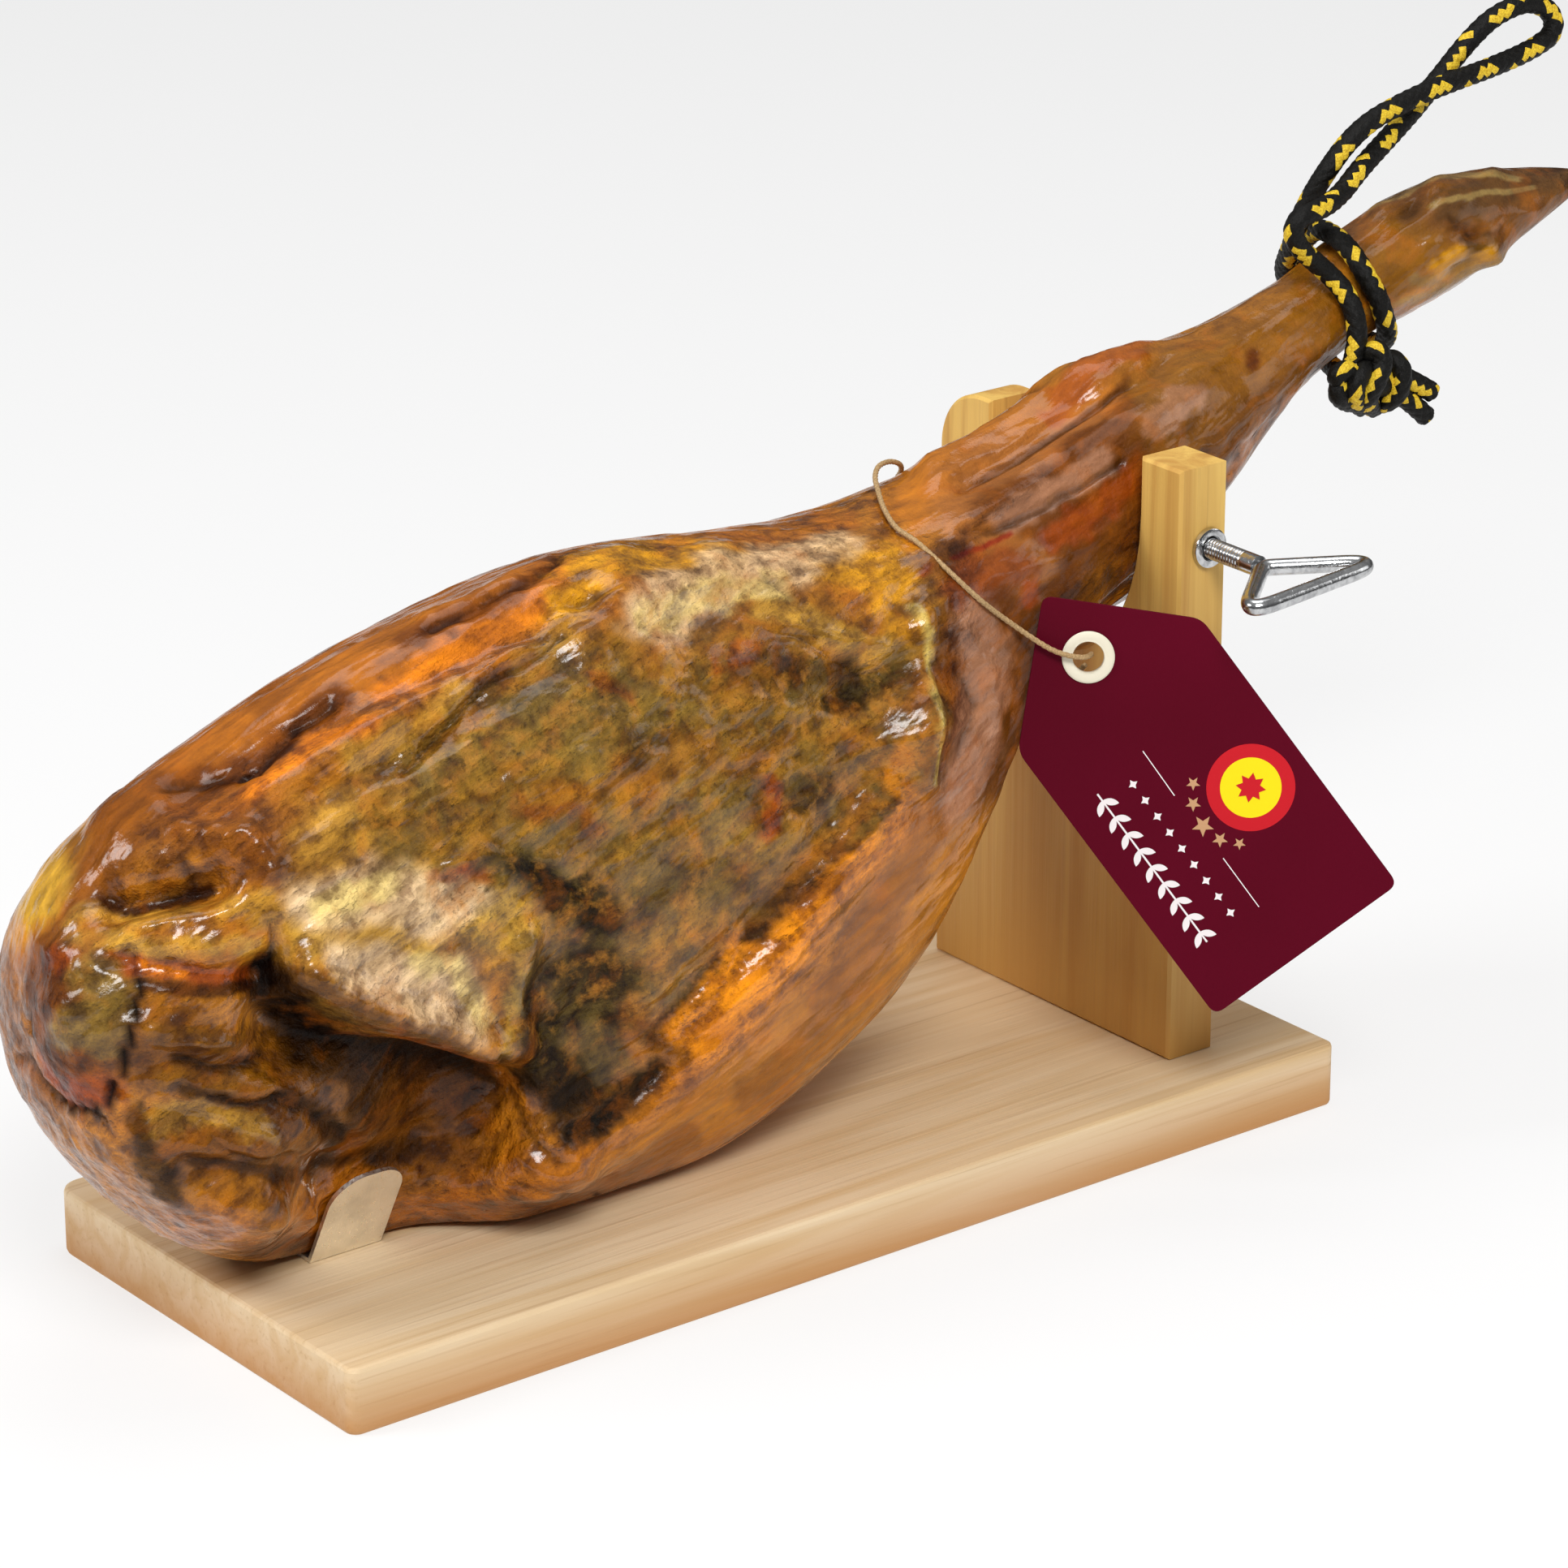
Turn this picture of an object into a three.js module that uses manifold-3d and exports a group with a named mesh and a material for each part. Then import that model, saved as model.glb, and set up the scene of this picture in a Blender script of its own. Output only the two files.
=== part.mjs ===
// A cured ham on its wooden holder: board, notched upright, steel bracket, clamp screw,
// the tag with its string and the hanging rope. Millimetres, +Z up. The origin is the middle
// of the board's underside; +X runs along the board towards the foot, -Y is the shown side.
import * as THREE from "three";
import { ConvexGeometry } from "three/addons/geometries/ConvexGeometry.js";
import { mergeVertices } from "three/addons/utils/BufferGeometryUtils.js";
import Module from "manifold-3d";

const wasm = await Module();
wasm.setup();

// Driving dimensions
const GAP = 0.3; // clearance between pieces that touch

const BOARD = { length: 450, width: 190, thickness: 25, edge: 1.5, corner: 3, wornCorner: 8 };

const UPRIGHT = {
  x: 162.9, thickness: 22.8, front: -68.5, back: 69.5, top: 258, edge: 1.2,
  notchCentre: -3.1, notchHalf: 42.6, notchStraightTo: 236, notchDepth: 63, hornRound: 22,
};

const SCREW = {
  x: 176.5, z: 226.5, flangeRadius: 7.6, flangeThick: 2, bodyRadius: 6, boreRadius: 4.4,
  insertEnd: -48.5, boreFrom: -75, boreTo: -30, shankRadius: 4, threadDepth: 0.4, plainEnd: 6,
  tipY: -46.6, endY: -96.2, loopY: -98, loopTurn: 4.8, wireRadius: 3.1,
};
// Coarse rings stand for the shank's thread: how many, and where each one starts and ends
const THREAD = { turns: 7, rootTo: 0.3, crestTo: 0.65 };
// Corners of the handle's flat wire loop, across and out from the shank's end, and how far
// from each corner its bend starts
const LOOP_CORNERS = [[0, 0], [-34, -28], [34, -28]];
const LOOP_BENDS = [4, 13, 13];
const LOOP_STEPS = 48;
const TURNED_SIDES = 24;
const SHANK_SIDES = 16;

const BRACKET = {
  x: -174, width: 30, foot: 33, wing: 41, thick: 1.6, lean: 27, round: 11, outerRound: 13.2,
};

const TAG = {
  width: 82, length: 163, thick: 1.2, corner: 4, holeRadius: 6.9, apex: [109.4, -54.9, 218.3],
  lean: 10, facing: -37.93, turn: 36.6,
};
const EYELET = {
  outer: 9.6, inner: 5.7, wall: 0.8, flange: 1, down: 27.8, lip: 0.4, rim: 0.5, step: 0.3,
};

const ROPE_RADIUS = 4;
const STRING_RADIUS = 1;
const CORD_SIDES = 8;
const ROPE_STEPS = 80;
const STRING_STEPS = 44;
const BEND_STEPS = 5;
const TAIL_STEPS = 3;
const KNOT_SLACK = 0.1; // added to the gap round the rope where it enters the knot

// Sections of the ham from the butt to the foot: top x, z; bottom x, z; half width to the
// front and to the back; squareness of the section
const HAM_SECTIONS = [
  [-284, 135, -284, 135, 0, 0, 2.0],
  [-278, 168, -282, 101, 31, 31, 2.1],
  [-262, 188, -263, 70, 47, 46, 2.2],
  [-237, 203, -239, 45, 57, 55, 2.2],
  [-206, 216, -207, 28, 62, 60, 2.3],
  [-165, 232, -167, 20, 66, 62, 2.3],
  [-120, 243, -120, 16, 69, 63, 2.4],
  [-70, 251, -74, 16, 70, 63, 2.5],
  [-15, 249, -27, 20, 70, 62, 2.5],
  [40, 244, 16, 36, 67, 59, 2.4],
  [85, 247, 56, 60, 61, 55, 2.3],
  [118, 254, 80, 93, 54, 50, 2.2],
  [140, 260, 104, 136, 48, 44, 2.1],
  [158, 266, 146, 177, 44, 38, 2.1],
  [178, 276, 187, 191, 41, 35, 2.1],
  [205, 279, 220, 213, 36, 32, 2.0],
  [232, 280, 249, 236, 28, 28, 2.0],
  [258, 286, 274, 253, 22.5, 22.5, 2.0],
  [284, 294, 301, 265, 20.5, 20.5, 2.0],
  [312, 307, 329, 271, 22, 22, 2.0],
  [342, 316, 354, 278, 23, 22, 2.0],
  [372, 318, 380, 288, 20, 19, 2.0],
  [402, 316, 402, 296, 14, 13, 2.0],
  [425, 312, 422, 304, 8, 8, 2.0],
  [438, 308, 438, 308, 0, 0, 2.0],
];
const HAM_RINGS = 86;
const HAM_FRONT_STEPS = 30;
const HAM_BACK_STEPS = 13;
const FLOOR_BLEND = 6; // how softly the underside flattens on the board
// The bracket's wings squeeze the ham between them
const PINCH = { half: 15.5, fullX: 20, endX: 62, fullZ: 60, endZ: 125, fromZ: 27 };

// The face chart: the shown side as seen from the view point, in points of a 1932 square
const VIEW = { azimuth: -37.93, elevation: 21.14, aim: [33.63, 0, 146.69], distance: 2208.25 };
const CHART = { middle: 966, focal: 7455.46, perMm: 3.35 };
// Relief of the shown side: height in mm (below zero it goes in), half width in mm, route
const RIDGES = [
  [5, 12, [[150, 1015], [330, 895], [500, 808], [660, 738], [760, 705]]],
  [-5, 7, [[230, 985], [380, 900], [560, 815], [720, 745]]],
  [4, 9, [[330, 985], [480, 890], [640, 805], [790, 735], [880, 700]]],
  [-4, 7, [[400, 975], [560, 880], [690, 800]]],
  [7, 12, [[640, 1425], [760, 1400], [850, 1310], [930, 1215], [1010, 1110], [1080, 1000], [1132, 890]]],
  [-5, 7, [[700, 1385], [790, 1340], [860, 1240], [930, 1160], [1010, 1060], [1085, 950]]],
  [13, 10, [[365, 1205], [430, 1243], [520, 1270], [612, 1303]]],
  [-22, 17, [[365, 1275], [440, 1315], [520, 1345], [590, 1372]]],
  [-12, 8, [[140, 1112], [200, 1100], [265, 1090]]],
  [-5, 6, [[150, 1185], [250, 1200], [330, 1205]]],
  [4, 6, [[180, 1268], [250, 1290], [330, 1290]]],
  [4, 6, [[195, 1335], [270, 1355], [345, 1350]]],
  [4, 6, [[190, 1395], [260, 1418], [330, 1420]]],
  [6, 12, [[150, 1400], [250, 1478], [380, 1500], [560, 1480], [700, 1455]]],
  [-5, 6, [[230, 1432], [330, 1448], [420, 1440], [520, 1420]]],
  [5, 6, [[655, 1165], [640, 1230], [655, 1300]]],
  [3.5, 6, [[1142, 700], [1140, 830], [1132, 960]]],
  [-4, 8, [[1040, 850], [1085, 835], [1120, 815]]],
  [5, 8, [[1150, 575], [1230, 520], [1320, 462], [1400, 432]]],
  [-4, 7, [[1190, 590], [1320, 505], [1420, 455]]],
  [3, 10, [[1180, 650], [1330, 565], [1480, 475]]],
];
// Rounded swellings and hollows: height, half width across, half width down, turn, place
const SPOTS = [
  [-14, 9, 10, 0, 336, 1198],
  [6, 18, 14, 20, 300, 1055],
  [9, 15, 26, 8, 100, 1255],
  [-9, 42, 24, 0, 290, 1335],
  [-7, 24, 36, 15, 730, 1290],
  [4, 26, 30, 0, 470, 1160],
  [-3, 40, 40, 0, 900, 930],
  [4, 22, 12, 40, 1200, 730],
  [4, 20, 9, 30, 1790, 245],
  [3, 9, 8, 0, 1845, 318],
];
// The cut plateau lies a little below the rind around it
const PLATEAU = { depth: 5, edge: 12, centre: [770, 1030], across: 112, down: 88, turn: 40 };
const BACK_FOLDS = [[1.5, 95, 25], [1.1, 58, 75]]; // height, wave length, turn of the wave
// Where the relief starts and is full: how far the skin faces the view, height over the board,
// and how the back's folds end towards the slim shank
const RELIEF = {
  shown: [0.06, 0.4], hidden: [-0.1, -0.5], overBoard: [4, 30], slim: [150, 60],
};

// Read off the face chart: across, down, and the depth Y in mm at that place
const ROPE_ROUTE = [
  [1667, 446, -28], [1672, 416, -27.5], [1668, 385, -25], [1655, 358, -20], [1636, 337, -15],
  [1618, 321, -14], [1605, 309, -15], [1597, 298, -15.5], [1594, 286, -16], [1597, 275, -16.5],
  [1605, 267, -17], [1617, 262, -17], [1636, 252, -15], [1655, 235, -11], [1669, 217, -9],
  [1684, 199, -6], [1714, 166, -1], [1744, 132, 4], [1760, 112, 6], [1778, 90, 6], [1796, 67, 6],
  [1815, 45, 5], [1836, 25, 4], [1859, 11, 3], [1880, 4, 2], [1896, 6, 1.3], [1909, 15, 0.5],
  [1914, 29, -0.3], [1910, 43, -1], [1897, 54, -2], [1876, 66, -2], [1834, 84, -3],
  [1791, 100, -4], [1747, 118, -4], [1701, 142, -3], [1680, 157, -3], [1659, 178, -2],
  [1641, 202, -2], [1624, 228, 0], [1609, 255, 3], [1599, 278, 6], [1593, 299, 11],
  [1587, 315, 17.6], [1583, 331, 23.8], [1588, 350, 26.5], [1603, 370, 24.5], [1625, 390, 19],
  [1651, 405, 11], [1675, 416, 2], [1692, 422, -7], [1704, 420, -16], [1709, 408, -23],
  [1705, 389, -25.5], [1697, 365, -24.5], [1683, 340, -20], [1668, 315, -13], [1651, 296, -4],
  [1634, 285, 5], [1622, 284, 13], [1610, 293, 21], [1599, 310, 28], [1592, 333, 32],
  [1591, 361, 33.6], [1598, 390, 29], [1610, 416, 22], [1623, 433, 13], [1636, 446, 4],
  [1647, 457, -5], [1651, 462, -11],
];
// The knot is made of short bends of the same rope over a filled middle, and two cut tails
const KNOT_BENDS = [
  [[1682, 462, -25], [1668, 461, -31], [1655, 457, -32], [1648, 464, -31], [1662, 474, -27]],
  [[1664, 470, -25], [1651, 474, -30], [1649, 485, -31], [1658, 494, -29], [1673, 495, -25]],
  [[1692, 452, -28], [1678, 460, -34], [1670, 476, -35], [1670, 491, -32], [1677, 501, -26]],
  [
    [1688, 450, -26], [1688, 435, -31], [1698, 432, -34], [1703, 448, -36], [1697, 467, -37],
    [1688, 484, -35], [1686, 496, -30], [1692, 502, -24],
  ],
  [
    [1702, 446, -25], [1715, 443, -30], [1725, 452, -33], [1727, 468, -34], [1722, 484, -33],
    [1711, 494, -30], [1700, 497, -24],
  ],
];
const KNOT_TAILS = [
  [[1722, 461, -27], [1739, 469, -28.5], [1752, 476, -29], [1764, 483, -29.5]],
  [[1714, 480, -26], [1730, 490, -27.5], [1744, 501, -28.5], [1757, 513, -29]],
];

const STRING_ROUTE = [
  [123.6, -65.8, 195.9], [120, -68.4, 196.6], [116, -69.7, 197.4], [111.6, -67.4, 198.4],
  [107.2, -62.6, 200.4], [95.2, -53.2, 210.8], [81.6, -52, 222.4], [72.4, -40, 235.4],
  [70.2, -30.4, 240.6], [68, -22, 243.9], [71.2, -11, 247.2], [76.4, -1, 250],
  [82, 8, 252.6], [88.4, 14, 253.8], [96.4, 18, 253], [104, 21.6, 249.8],
  [110, 27.6, 244.4], [114.2, 38.6, 233.6], [116.6, 46.2, 215.4], [115, 49.4, 195.8],
  [111.4, 47, 170.6], [105.2, 40.8, 147.2], [100.8, 30, 133], [104.4, 11.8, 131.8],
  [106.6, -11, 134.2], [109.6, -27.6, 141.8], [116.2, -37.4, 159], [121.4, -46, 173.6],
  [124.4, -55.4, 184.4], [125, -61, 190],
];

const material = (color, roughness, metalness = 0) =>
  new THREE.MeshStandardMaterial({ color, roughness, metalness });
const LOOK = {
  meat: material("#a3661c", 0.35),
  wood: material("#d9b47e", 0.7),
  steel: material("#c9c8c4", 0.35, 1),
  chrome: material("#d8d9da", 0.15, 1),
  card: material("#5a0a24", 0.6),
  eyelet: material("#d9cfb4", 0.5),
  rope: material("#15130f", 0.8),
  string: material("#a88a5c", 0.85),
};

const rad = (degrees) => (degrees * Math.PI) / 180;
const clamp01 = (t) => Math.min(1, Math.max(0, t));
const smooth = (from, to, x) => {
  const t = clamp01((x - from) / (to - from));
  return t * t * (3 - 2 * t);
};
const vec = (p) => new THREE.Vector3(...p);

function welded(geometry) {
  if (geometry.index && !geometry.attributes.normal) return geometry;
  const bare = geometry.clone();
  for (const name of Object.keys(bare.attributes)) {
    if (name !== "position") bare.deleteAttribute(name);
  }
  return mergeVertices(bare, 1e-4);
}

function toSolid(geometry) {
  const bare = welded(geometry);
  const vertProperties = new Float32Array(bare.attributes.position.array);
  const triVerts = new Uint32Array(bare.index.array);
  return new wasm.Manifold(new wasm.Mesh({ numProp: 3, vertProperties, triVerts }));
}

function toGeometry(solid) {
  const mesh = solid.getMesh();
  const geometry = new THREE.BufferGeometry();
  geometry.setAttribute("position", new THREE.BufferAttribute(mesh.vertProperties, 3));
  geometry.setIndex(new THREE.BufferAttribute(mesh.triVerts, 1));
  return geometry;
}

function piece(name, geometry, look) {
  const mesh = new THREE.Mesh(toGeometry(toSolid(geometry)), look);
  mesh.name = name;
  return mesh;
}

// A rod of round section along a smooth route through the points
function tube(points, radius, sides, steps) {
  const path = new THREE.CatmullRomCurve3(points.map(vec), false, "centripetal");
  const section = new THREE.Shape();
  for (let i = 0; i < sides; i++) {
    const angle = (2 * Math.PI * i) / sides;
    const place = [radius * Math.cos(angle), radius * Math.sin(angle)];
    if (i === 0) section.moveTo(...place);
    else section.lineTo(...place);
  }
  section.closePath();
  return new THREE.ExtrudeGeometry(section, { steps, extrudePath: path, bevelEnabled: false });
}

// A closed turning about Y from (radius, y) points
function turned(profile, segments, x, z) {
  const points = profile.map(([radius, y]) => new THREE.Vector2(radius, y));
  const geometry = new THREE.LatheGeometry(points, segments);
  geometry.translate(x, 0, z);
  return geometry;
}

function boardShape() {
  const { length, width, corner, wornCorner, edge } = BOARD;
  const x = length / 2 - edge;
  const y = width / 2 - edge;
  const shape = new THREE.Shape();
  shape.moveTo(-x + corner, -y);
  shape.lineTo(x - corner, -y);
  shape.absarc(x - corner, -y + corner, corner, -Math.PI / 2, 0);
  shape.lineTo(x, y - corner);
  shape.absarc(x - corner, y - corner, corner, 0, Math.PI / 2);
  shape.lineTo(-x + wornCorner, y);
  shape.absarc(-x + wornCorner, y - wornCorner, wornCorner, Math.PI / 2, Math.PI);
  shape.lineTo(-x, -y + corner);
  shape.absarc(-x + corner, -y + corner, corner, Math.PI, 1.5 * Math.PI);
  return shape;
}

function board() {
  const { thickness, edge } = BOARD;
  const geometry = new THREE.ExtrudeGeometry(boardShape(), {
    depth: thickness - 2 * edge, bevelEnabled: true, bevelThickness: edge, bevelSize: edge,
    bevelSegments: 2, curveSegments: 4,
  });
  geometry.translate(0, 0, edge);
  return geometry;
}

// The upright's outline across the board, with every side moved out by grow
function uprightShape(grow) {
  const u = UPRIGHT;
  const inset = u.edge;
  const front = u.front + inset - grow;
  const back = u.back - inset + grow;
  const top = u.top - inset + grow;
  const half = u.notchHalf + inset - grow;
  const depth = u.notchDepth + inset - grow;
  const round = u.hornRound;
  const shape = new THREE.Shape();
  shape.moveTo(front, BOARD.thickness + GAP + inset - grow);
  shape.lineTo(back, BOARD.thickness + GAP + inset - grow);
  shape.lineTo(back, top - round);
  shape.absellipse(back - round, top - round, round, round, 0, Math.PI / 2);
  shape.lineTo(u.notchCentre + half, top);
  shape.lineTo(u.notchCentre + half, u.notchStraightTo);
  shape.absellipse(u.notchCentre, u.notchStraightTo, half, depth, 0, Math.PI, true);
  shape.lineTo(u.notchCentre - half, top);
  shape.lineTo(front, top);
  return shape;
}

function uprightBlank(grow) {
  const u = UPRIGHT;
  const geometry = new THREE.ExtrudeGeometry(uprightShape(grow), {
    depth: u.thickness - 2 * u.edge + 2 * grow, bevelEnabled: true, bevelThickness: u.edge,
    bevelSize: u.edge, bevelSegments: 1, curveSegments: 9,
  });
  // the shape's x, y and depth become world Y, Z and X
  geometry.applyMatrix4(new THREE.Matrix4().set(0, 0, 1, 0, 1, 0, 0, 0, 0, 1, 0, 0, 0, 0, 0, 1));
  geometry.translate(u.x + u.edge - grow, 0, 0);
  return geometry;
}

function upright() {
  const { boreFrom, boreTo } = SCREW;
  const radius = SCREW.bodyRadius + GAP;
  const bore = turned([[0, boreFrom], [radius, boreFrom], [radius, boreTo], [0, boreTo]],
    TURNED_SIDES, SCREW.x, SCREW.z);
  return toGeometry(toSolid(uprightBlank(0)).subtract(toSolid(bore)));
}

function insert() {
  const s = SCREW;
  const face = UPRIGHT.front - GAP;
  const outside = face - s.flangeThick;
  const chamfer = 0.6;
  return turned([
    [s.boreRadius, outside], [s.flangeRadius - chamfer, outside], [s.flangeRadius, outside + chamfer],
    [s.flangeRadius, face], [s.bodyRadius, face], [s.bodyRadius, s.insertEnd],
    [s.boreRadius, s.insertEnd], [s.boreRadius, outside],
  ], TURNED_SIDES, s.x, s.z);
}

function shank() {
  const s = SCREW;
  const chamfer = 1;
  const core = s.shankRadius - s.threadDepth;
  const profile = [[0, s.endY], [s.shankRadius, s.endY]];
  const plainTo = s.endY + s.plainEnd;
  profile.push([s.shankRadius, plainTo]);
  const pitch = (s.tipY - chamfer - plainTo) / THREAD.turns;
  for (let i = 0; i < THREAD.turns; i++) {
    const y = plainTo + i * pitch;
    profile.push([core, y + THREAD.rootTo * pitch], [s.shankRadius, y + THREAD.crestTo * pitch]);
  }
  profile.push([core, s.tipY - chamfer], [core - chamfer, s.tipY], [0, s.tipY]);
  return turned(profile, SHANK_SIDES, s.x, s.z);
}

// The loop's rounded corners are arcs between its straight wires
function loopPath() {
  const path = new THREE.CurvePath();
  const corners = LOOP_CORNERS.map(([x, y]) => new THREE.Vector3(x, y, 0));
  const count = corners.length;
  const cut = (at, towards, round) => {
    const direction = corners[towards].clone().sub(corners[at]).normalize();
    return corners[at].clone().addScaledVector(direction, round);
  };
  const trims = corners.map((corner, i) => {
    const before = cut(i, (i + count - 1) % count, LOOP_BENDS[i]);
    const after = cut(i, (i + 1) % count, LOOP_BENDS[i]);
    return { before, after, corner };
  });
  trims.forEach((trim, i) => {
    path.add(new THREE.QuadraticBezierCurve3(trim.before, trim.corner, trim.after));
    path.add(new THREE.LineCurve3(trim.after, trims[(i + 1) % count].before));
  });
  return path;
}

function handle() {
  const points = loopPath().getSpacedPoints(LOOP_STEPS).slice(0, -1);
  const ring = new THREE.CatmullRomCurve3(points, true);
  const geometry = new THREE.TubeGeometry(ring, LOOP_STEPS, SCREW.wireRadius, CORD_SIDES, true);
  geometry.rotateY(-rad(SCREW.loopTurn));
  geometry.translate(SCREW.x, SCREW.loopY, SCREW.z);
  return geometry;
}

function wingShape(grow) {
  const half = BRACKET.width / 2 + grow;
  const tall = BRACKET.wing + grow;
  const round = BRACKET.round;
  const shape = new THREE.Shape();
  shape.moveTo(-half, -grow);
  shape.lineTo(half, -grow);
  shape.lineTo(half, tall - round);
  shape.absellipse(half - round, tall - round, round, round, 0, Math.PI / 2);
  const outer = BRACKET.outerRound;
  shape.absellipse(-half + outer, tall - outer, outer, outer, Math.PI / 2, Math.PI);
  return shape;
}

// The bracket is a strip with a foot on the board and two wings that lean outwards
function bracket(grow) {
  const b = BRACKET;
  const base = BOARD.thickness + GAP;
  const foot = new THREE.BoxGeometry(b.width + 2 * grow, b.foot + 2 * grow, b.thick + 2 * grow);
  foot.translate(b.x, 0, base + b.thick / 2);
  let solid = toSolid(foot);
  for (const side of [-1, 1]) {
    const wing = new THREE.ExtrudeGeometry(wingShape(grow), {
      depth: b.thick + 2 * grow, bevelEnabled: false, curveSegments: 6,
    });
    wing.translate(0, 0, -grow);
    wing.rotateX(Math.PI / 2);
    wing.translate(0, b.thick / 2, 0);
    wing.rotateX(side < 0 ? rad(b.lean) : -rad(b.lean));
    wing.translate(b.x, side * (b.foot / 2 - b.thick / 2), base + b.thick / 4);
    solid = solid.add(toSolid(wing));
  }
  return solid;
}

// Places on the ham
function sectionRow(index) {
  const last = HAM_SECTIONS.length - 1;
  const mirrored = (row) => [row[2], row[3], row[0], row[1], -row[4], -row[5], row[6]];
  if (index < 0) return mirrored(HAM_SECTIONS[-index]);
  if (index > last) return mirrored(HAM_SECTIONS[2 * last - index]);
  return HAM_SECTIONS[index];
}

function sectionAt(station) {
  const whole = Math.min(Math.floor(station), HAM_SECTIONS.length - 2);
  const t = station - whole;
  const [a, b, c, d] = [whole - 1, whole, whole + 1, whole + 2].map(sectionRow);
  return b.map((_, k) => 0.5 * (2 * b[k] + (c[k] - a[k]) * t
    + (2 * a[k] - 5 * b[k] + 4 * c[k] - d[k]) * t * t
    + (3 * b[k] - a[k] - 3 * c[k] + d[k]) * t * t * t));
}

function pinched(x, y, z) {
  const weight = smooth(PINCH.endX, PINCH.fullX, Math.abs(x - BRACKET.x))
    * smooth(PINCH.endZ, PINCH.fullZ, z);
  const limit = PINCH.half + Math.max(z - PINCH.fromZ, 0) * Math.tan(rad(BRACKET.lean));
  return y + (limit * Math.tanh(y / limit) - y) * weight;
}

// angle 0 is the top, a quarter turn is the shown side
function hamPoint(station, angle) {
  const [topX, topZ, lowX, lowZ, front, back, square] = sectionAt(station);
  const power = 2 / square;
  const c = Math.sign(Math.cos(angle)) * Math.abs(Math.cos(angle)) ** power;
  const s = Math.sign(Math.sin(angle)) * Math.abs(Math.sin(angle)) ** power;
  const x = (topX + lowX) / 2 + (c * (topX - lowX)) / 2;
  let z = (topZ + lowZ) / 2 + (c * (topZ - lowZ)) / 2;
  const y = pinched(x, -s * (s > 0 ? front : back), z);
  const rest = BOARD.thickness + GAP;
  if (z < rest + FLOOR_BLEND) z = rest + FLOOR_BLEND * Math.exp((z - rest - FLOOR_BLEND) / FLOOR_BLEND);
  return new THREE.Vector3(x, y, z);
}

const AZIMUTH = rad(VIEW.azimuth);
const ELEVATION = rad(VIEW.elevation);
const TO_VIEWER = new THREE.Vector3(Math.sin(AZIMUTH) * Math.cos(ELEVATION),
  -Math.cos(AZIMUTH) * Math.cos(ELEVATION), Math.sin(ELEVATION));
const ACROSS = new THREE.Vector3(Math.cos(AZIMUTH), Math.sin(AZIMUTH), 0);
const UPWARD = new THREE.Vector3().crossVectors(TO_VIEWER, ACROSS);
const VIEW_POINT = vec(VIEW.aim).addScaledVector(TO_VIEWER, VIEW.distance);

function chartPlace(point) {
  const away = point.clone().sub(VIEW_POINT);
  const scale = CHART.focal / -away.dot(TO_VIEWER);
  return [CHART.middle + scale * away.dot(ACROSS), CHART.middle - scale * away.dot(UPWARD)];
}

// The place on the ray through a chart point where Y is as given
function fromChart([u, v, y]) {
  const ray = TO_VIEWER.clone().multiplyScalar(-CHART.focal)
    .addScaledVector(ACROSS, u - CHART.middle).addScaledVector(UPWARD, CHART.middle - v);
  return VIEW_POINT.clone().addScaledVector(ray, (y - VIEW_POINT.y) / ray.y).toArray();
}

function toRoute(u, v, route) {
  let best = Infinity;
  for (let i = 0; i + 1 < route.length; i++) {
    const [ax, ay] = route[i];
    const [bx, by] = route[i + 1];
    const t = clamp01(((u - ax) * (bx - ax) + (v - ay) * (by - ay)) / ((bx - ax) ** 2 + (by - ay) ** 2));
    best = Math.min(best, Math.hypot(u - ax - t * (bx - ax), v - ay - t * (by - ay)));
  }
  return best / CHART.perMm;
}

function inSpot(u, v, across, down, turn, cu, cv) {
  const du = (u - cu) / CHART.perMm;
  const dv = (v - cv) / CHART.perMm;
  const a = du * Math.cos(rad(turn)) - dv * Math.sin(rad(turn));
  const b = du * Math.sin(rad(turn)) + dv * Math.cos(rad(turn));
  return Math.hypot(a / across, b / down);
}

function shownRelief(u, v) {
  let height = 0;
  for (const [rise, width, route] of RIDGES) {
    height += rise * Math.exp(-((toRoute(u, v, route) / width) ** 2));
  }
  for (const [rise, across, down, turn, cu, cv] of SPOTS) {
    height += rise * Math.exp(-(inSpot(u, v, across, down, turn, cu, cv) ** 2));
  }
  const p = PLATEAU;
  const inside = inSpot(u, v, p.across, p.down, p.turn, ...p.centre);
  return height - p.depth * smooth(1 + p.edge / p.down, 1 - p.edge / p.down, inside);
}

function backRelief(point) {
  let height = 0;
  for (const [rise, wave, turn] of BACK_FOLDS) {
    const along = point.x * Math.cos(rad(turn)) + point.z * Math.sin(rad(turn));
    height += rise * Math.sin((2 * Math.PI * along) / wave + Math.sin(point.z / wave));
  }
  return height;
}

function reliefAt(point, normal) {
  const facing = normal.dot(TO_VIEWER);
  const shown = smooth(...RELIEF.shown, facing);
  const hidden = smooth(...RELIEF.hidden, facing);
  const onBoard = smooth(...RELIEF.overBoard, point.z - BOARD.thickness);
  const slim = smooth(...RELIEF.slim, point.x);
  return onBoard * (shown * shownRelief(...chartPlace(point)) + hidden * slim * backRelief(point));
}

function ringAngles() {
  const angles = [];
  for (let i = 0; i < HAM_FRONT_STEPS; i++) angles.push((Math.PI * i) / HAM_FRONT_STEPS);
  for (let i = 0; i < HAM_BACK_STEPS; i++) angles.push(Math.PI + (Math.PI * i) / HAM_BACK_STEPS);
  return angles;
}

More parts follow.
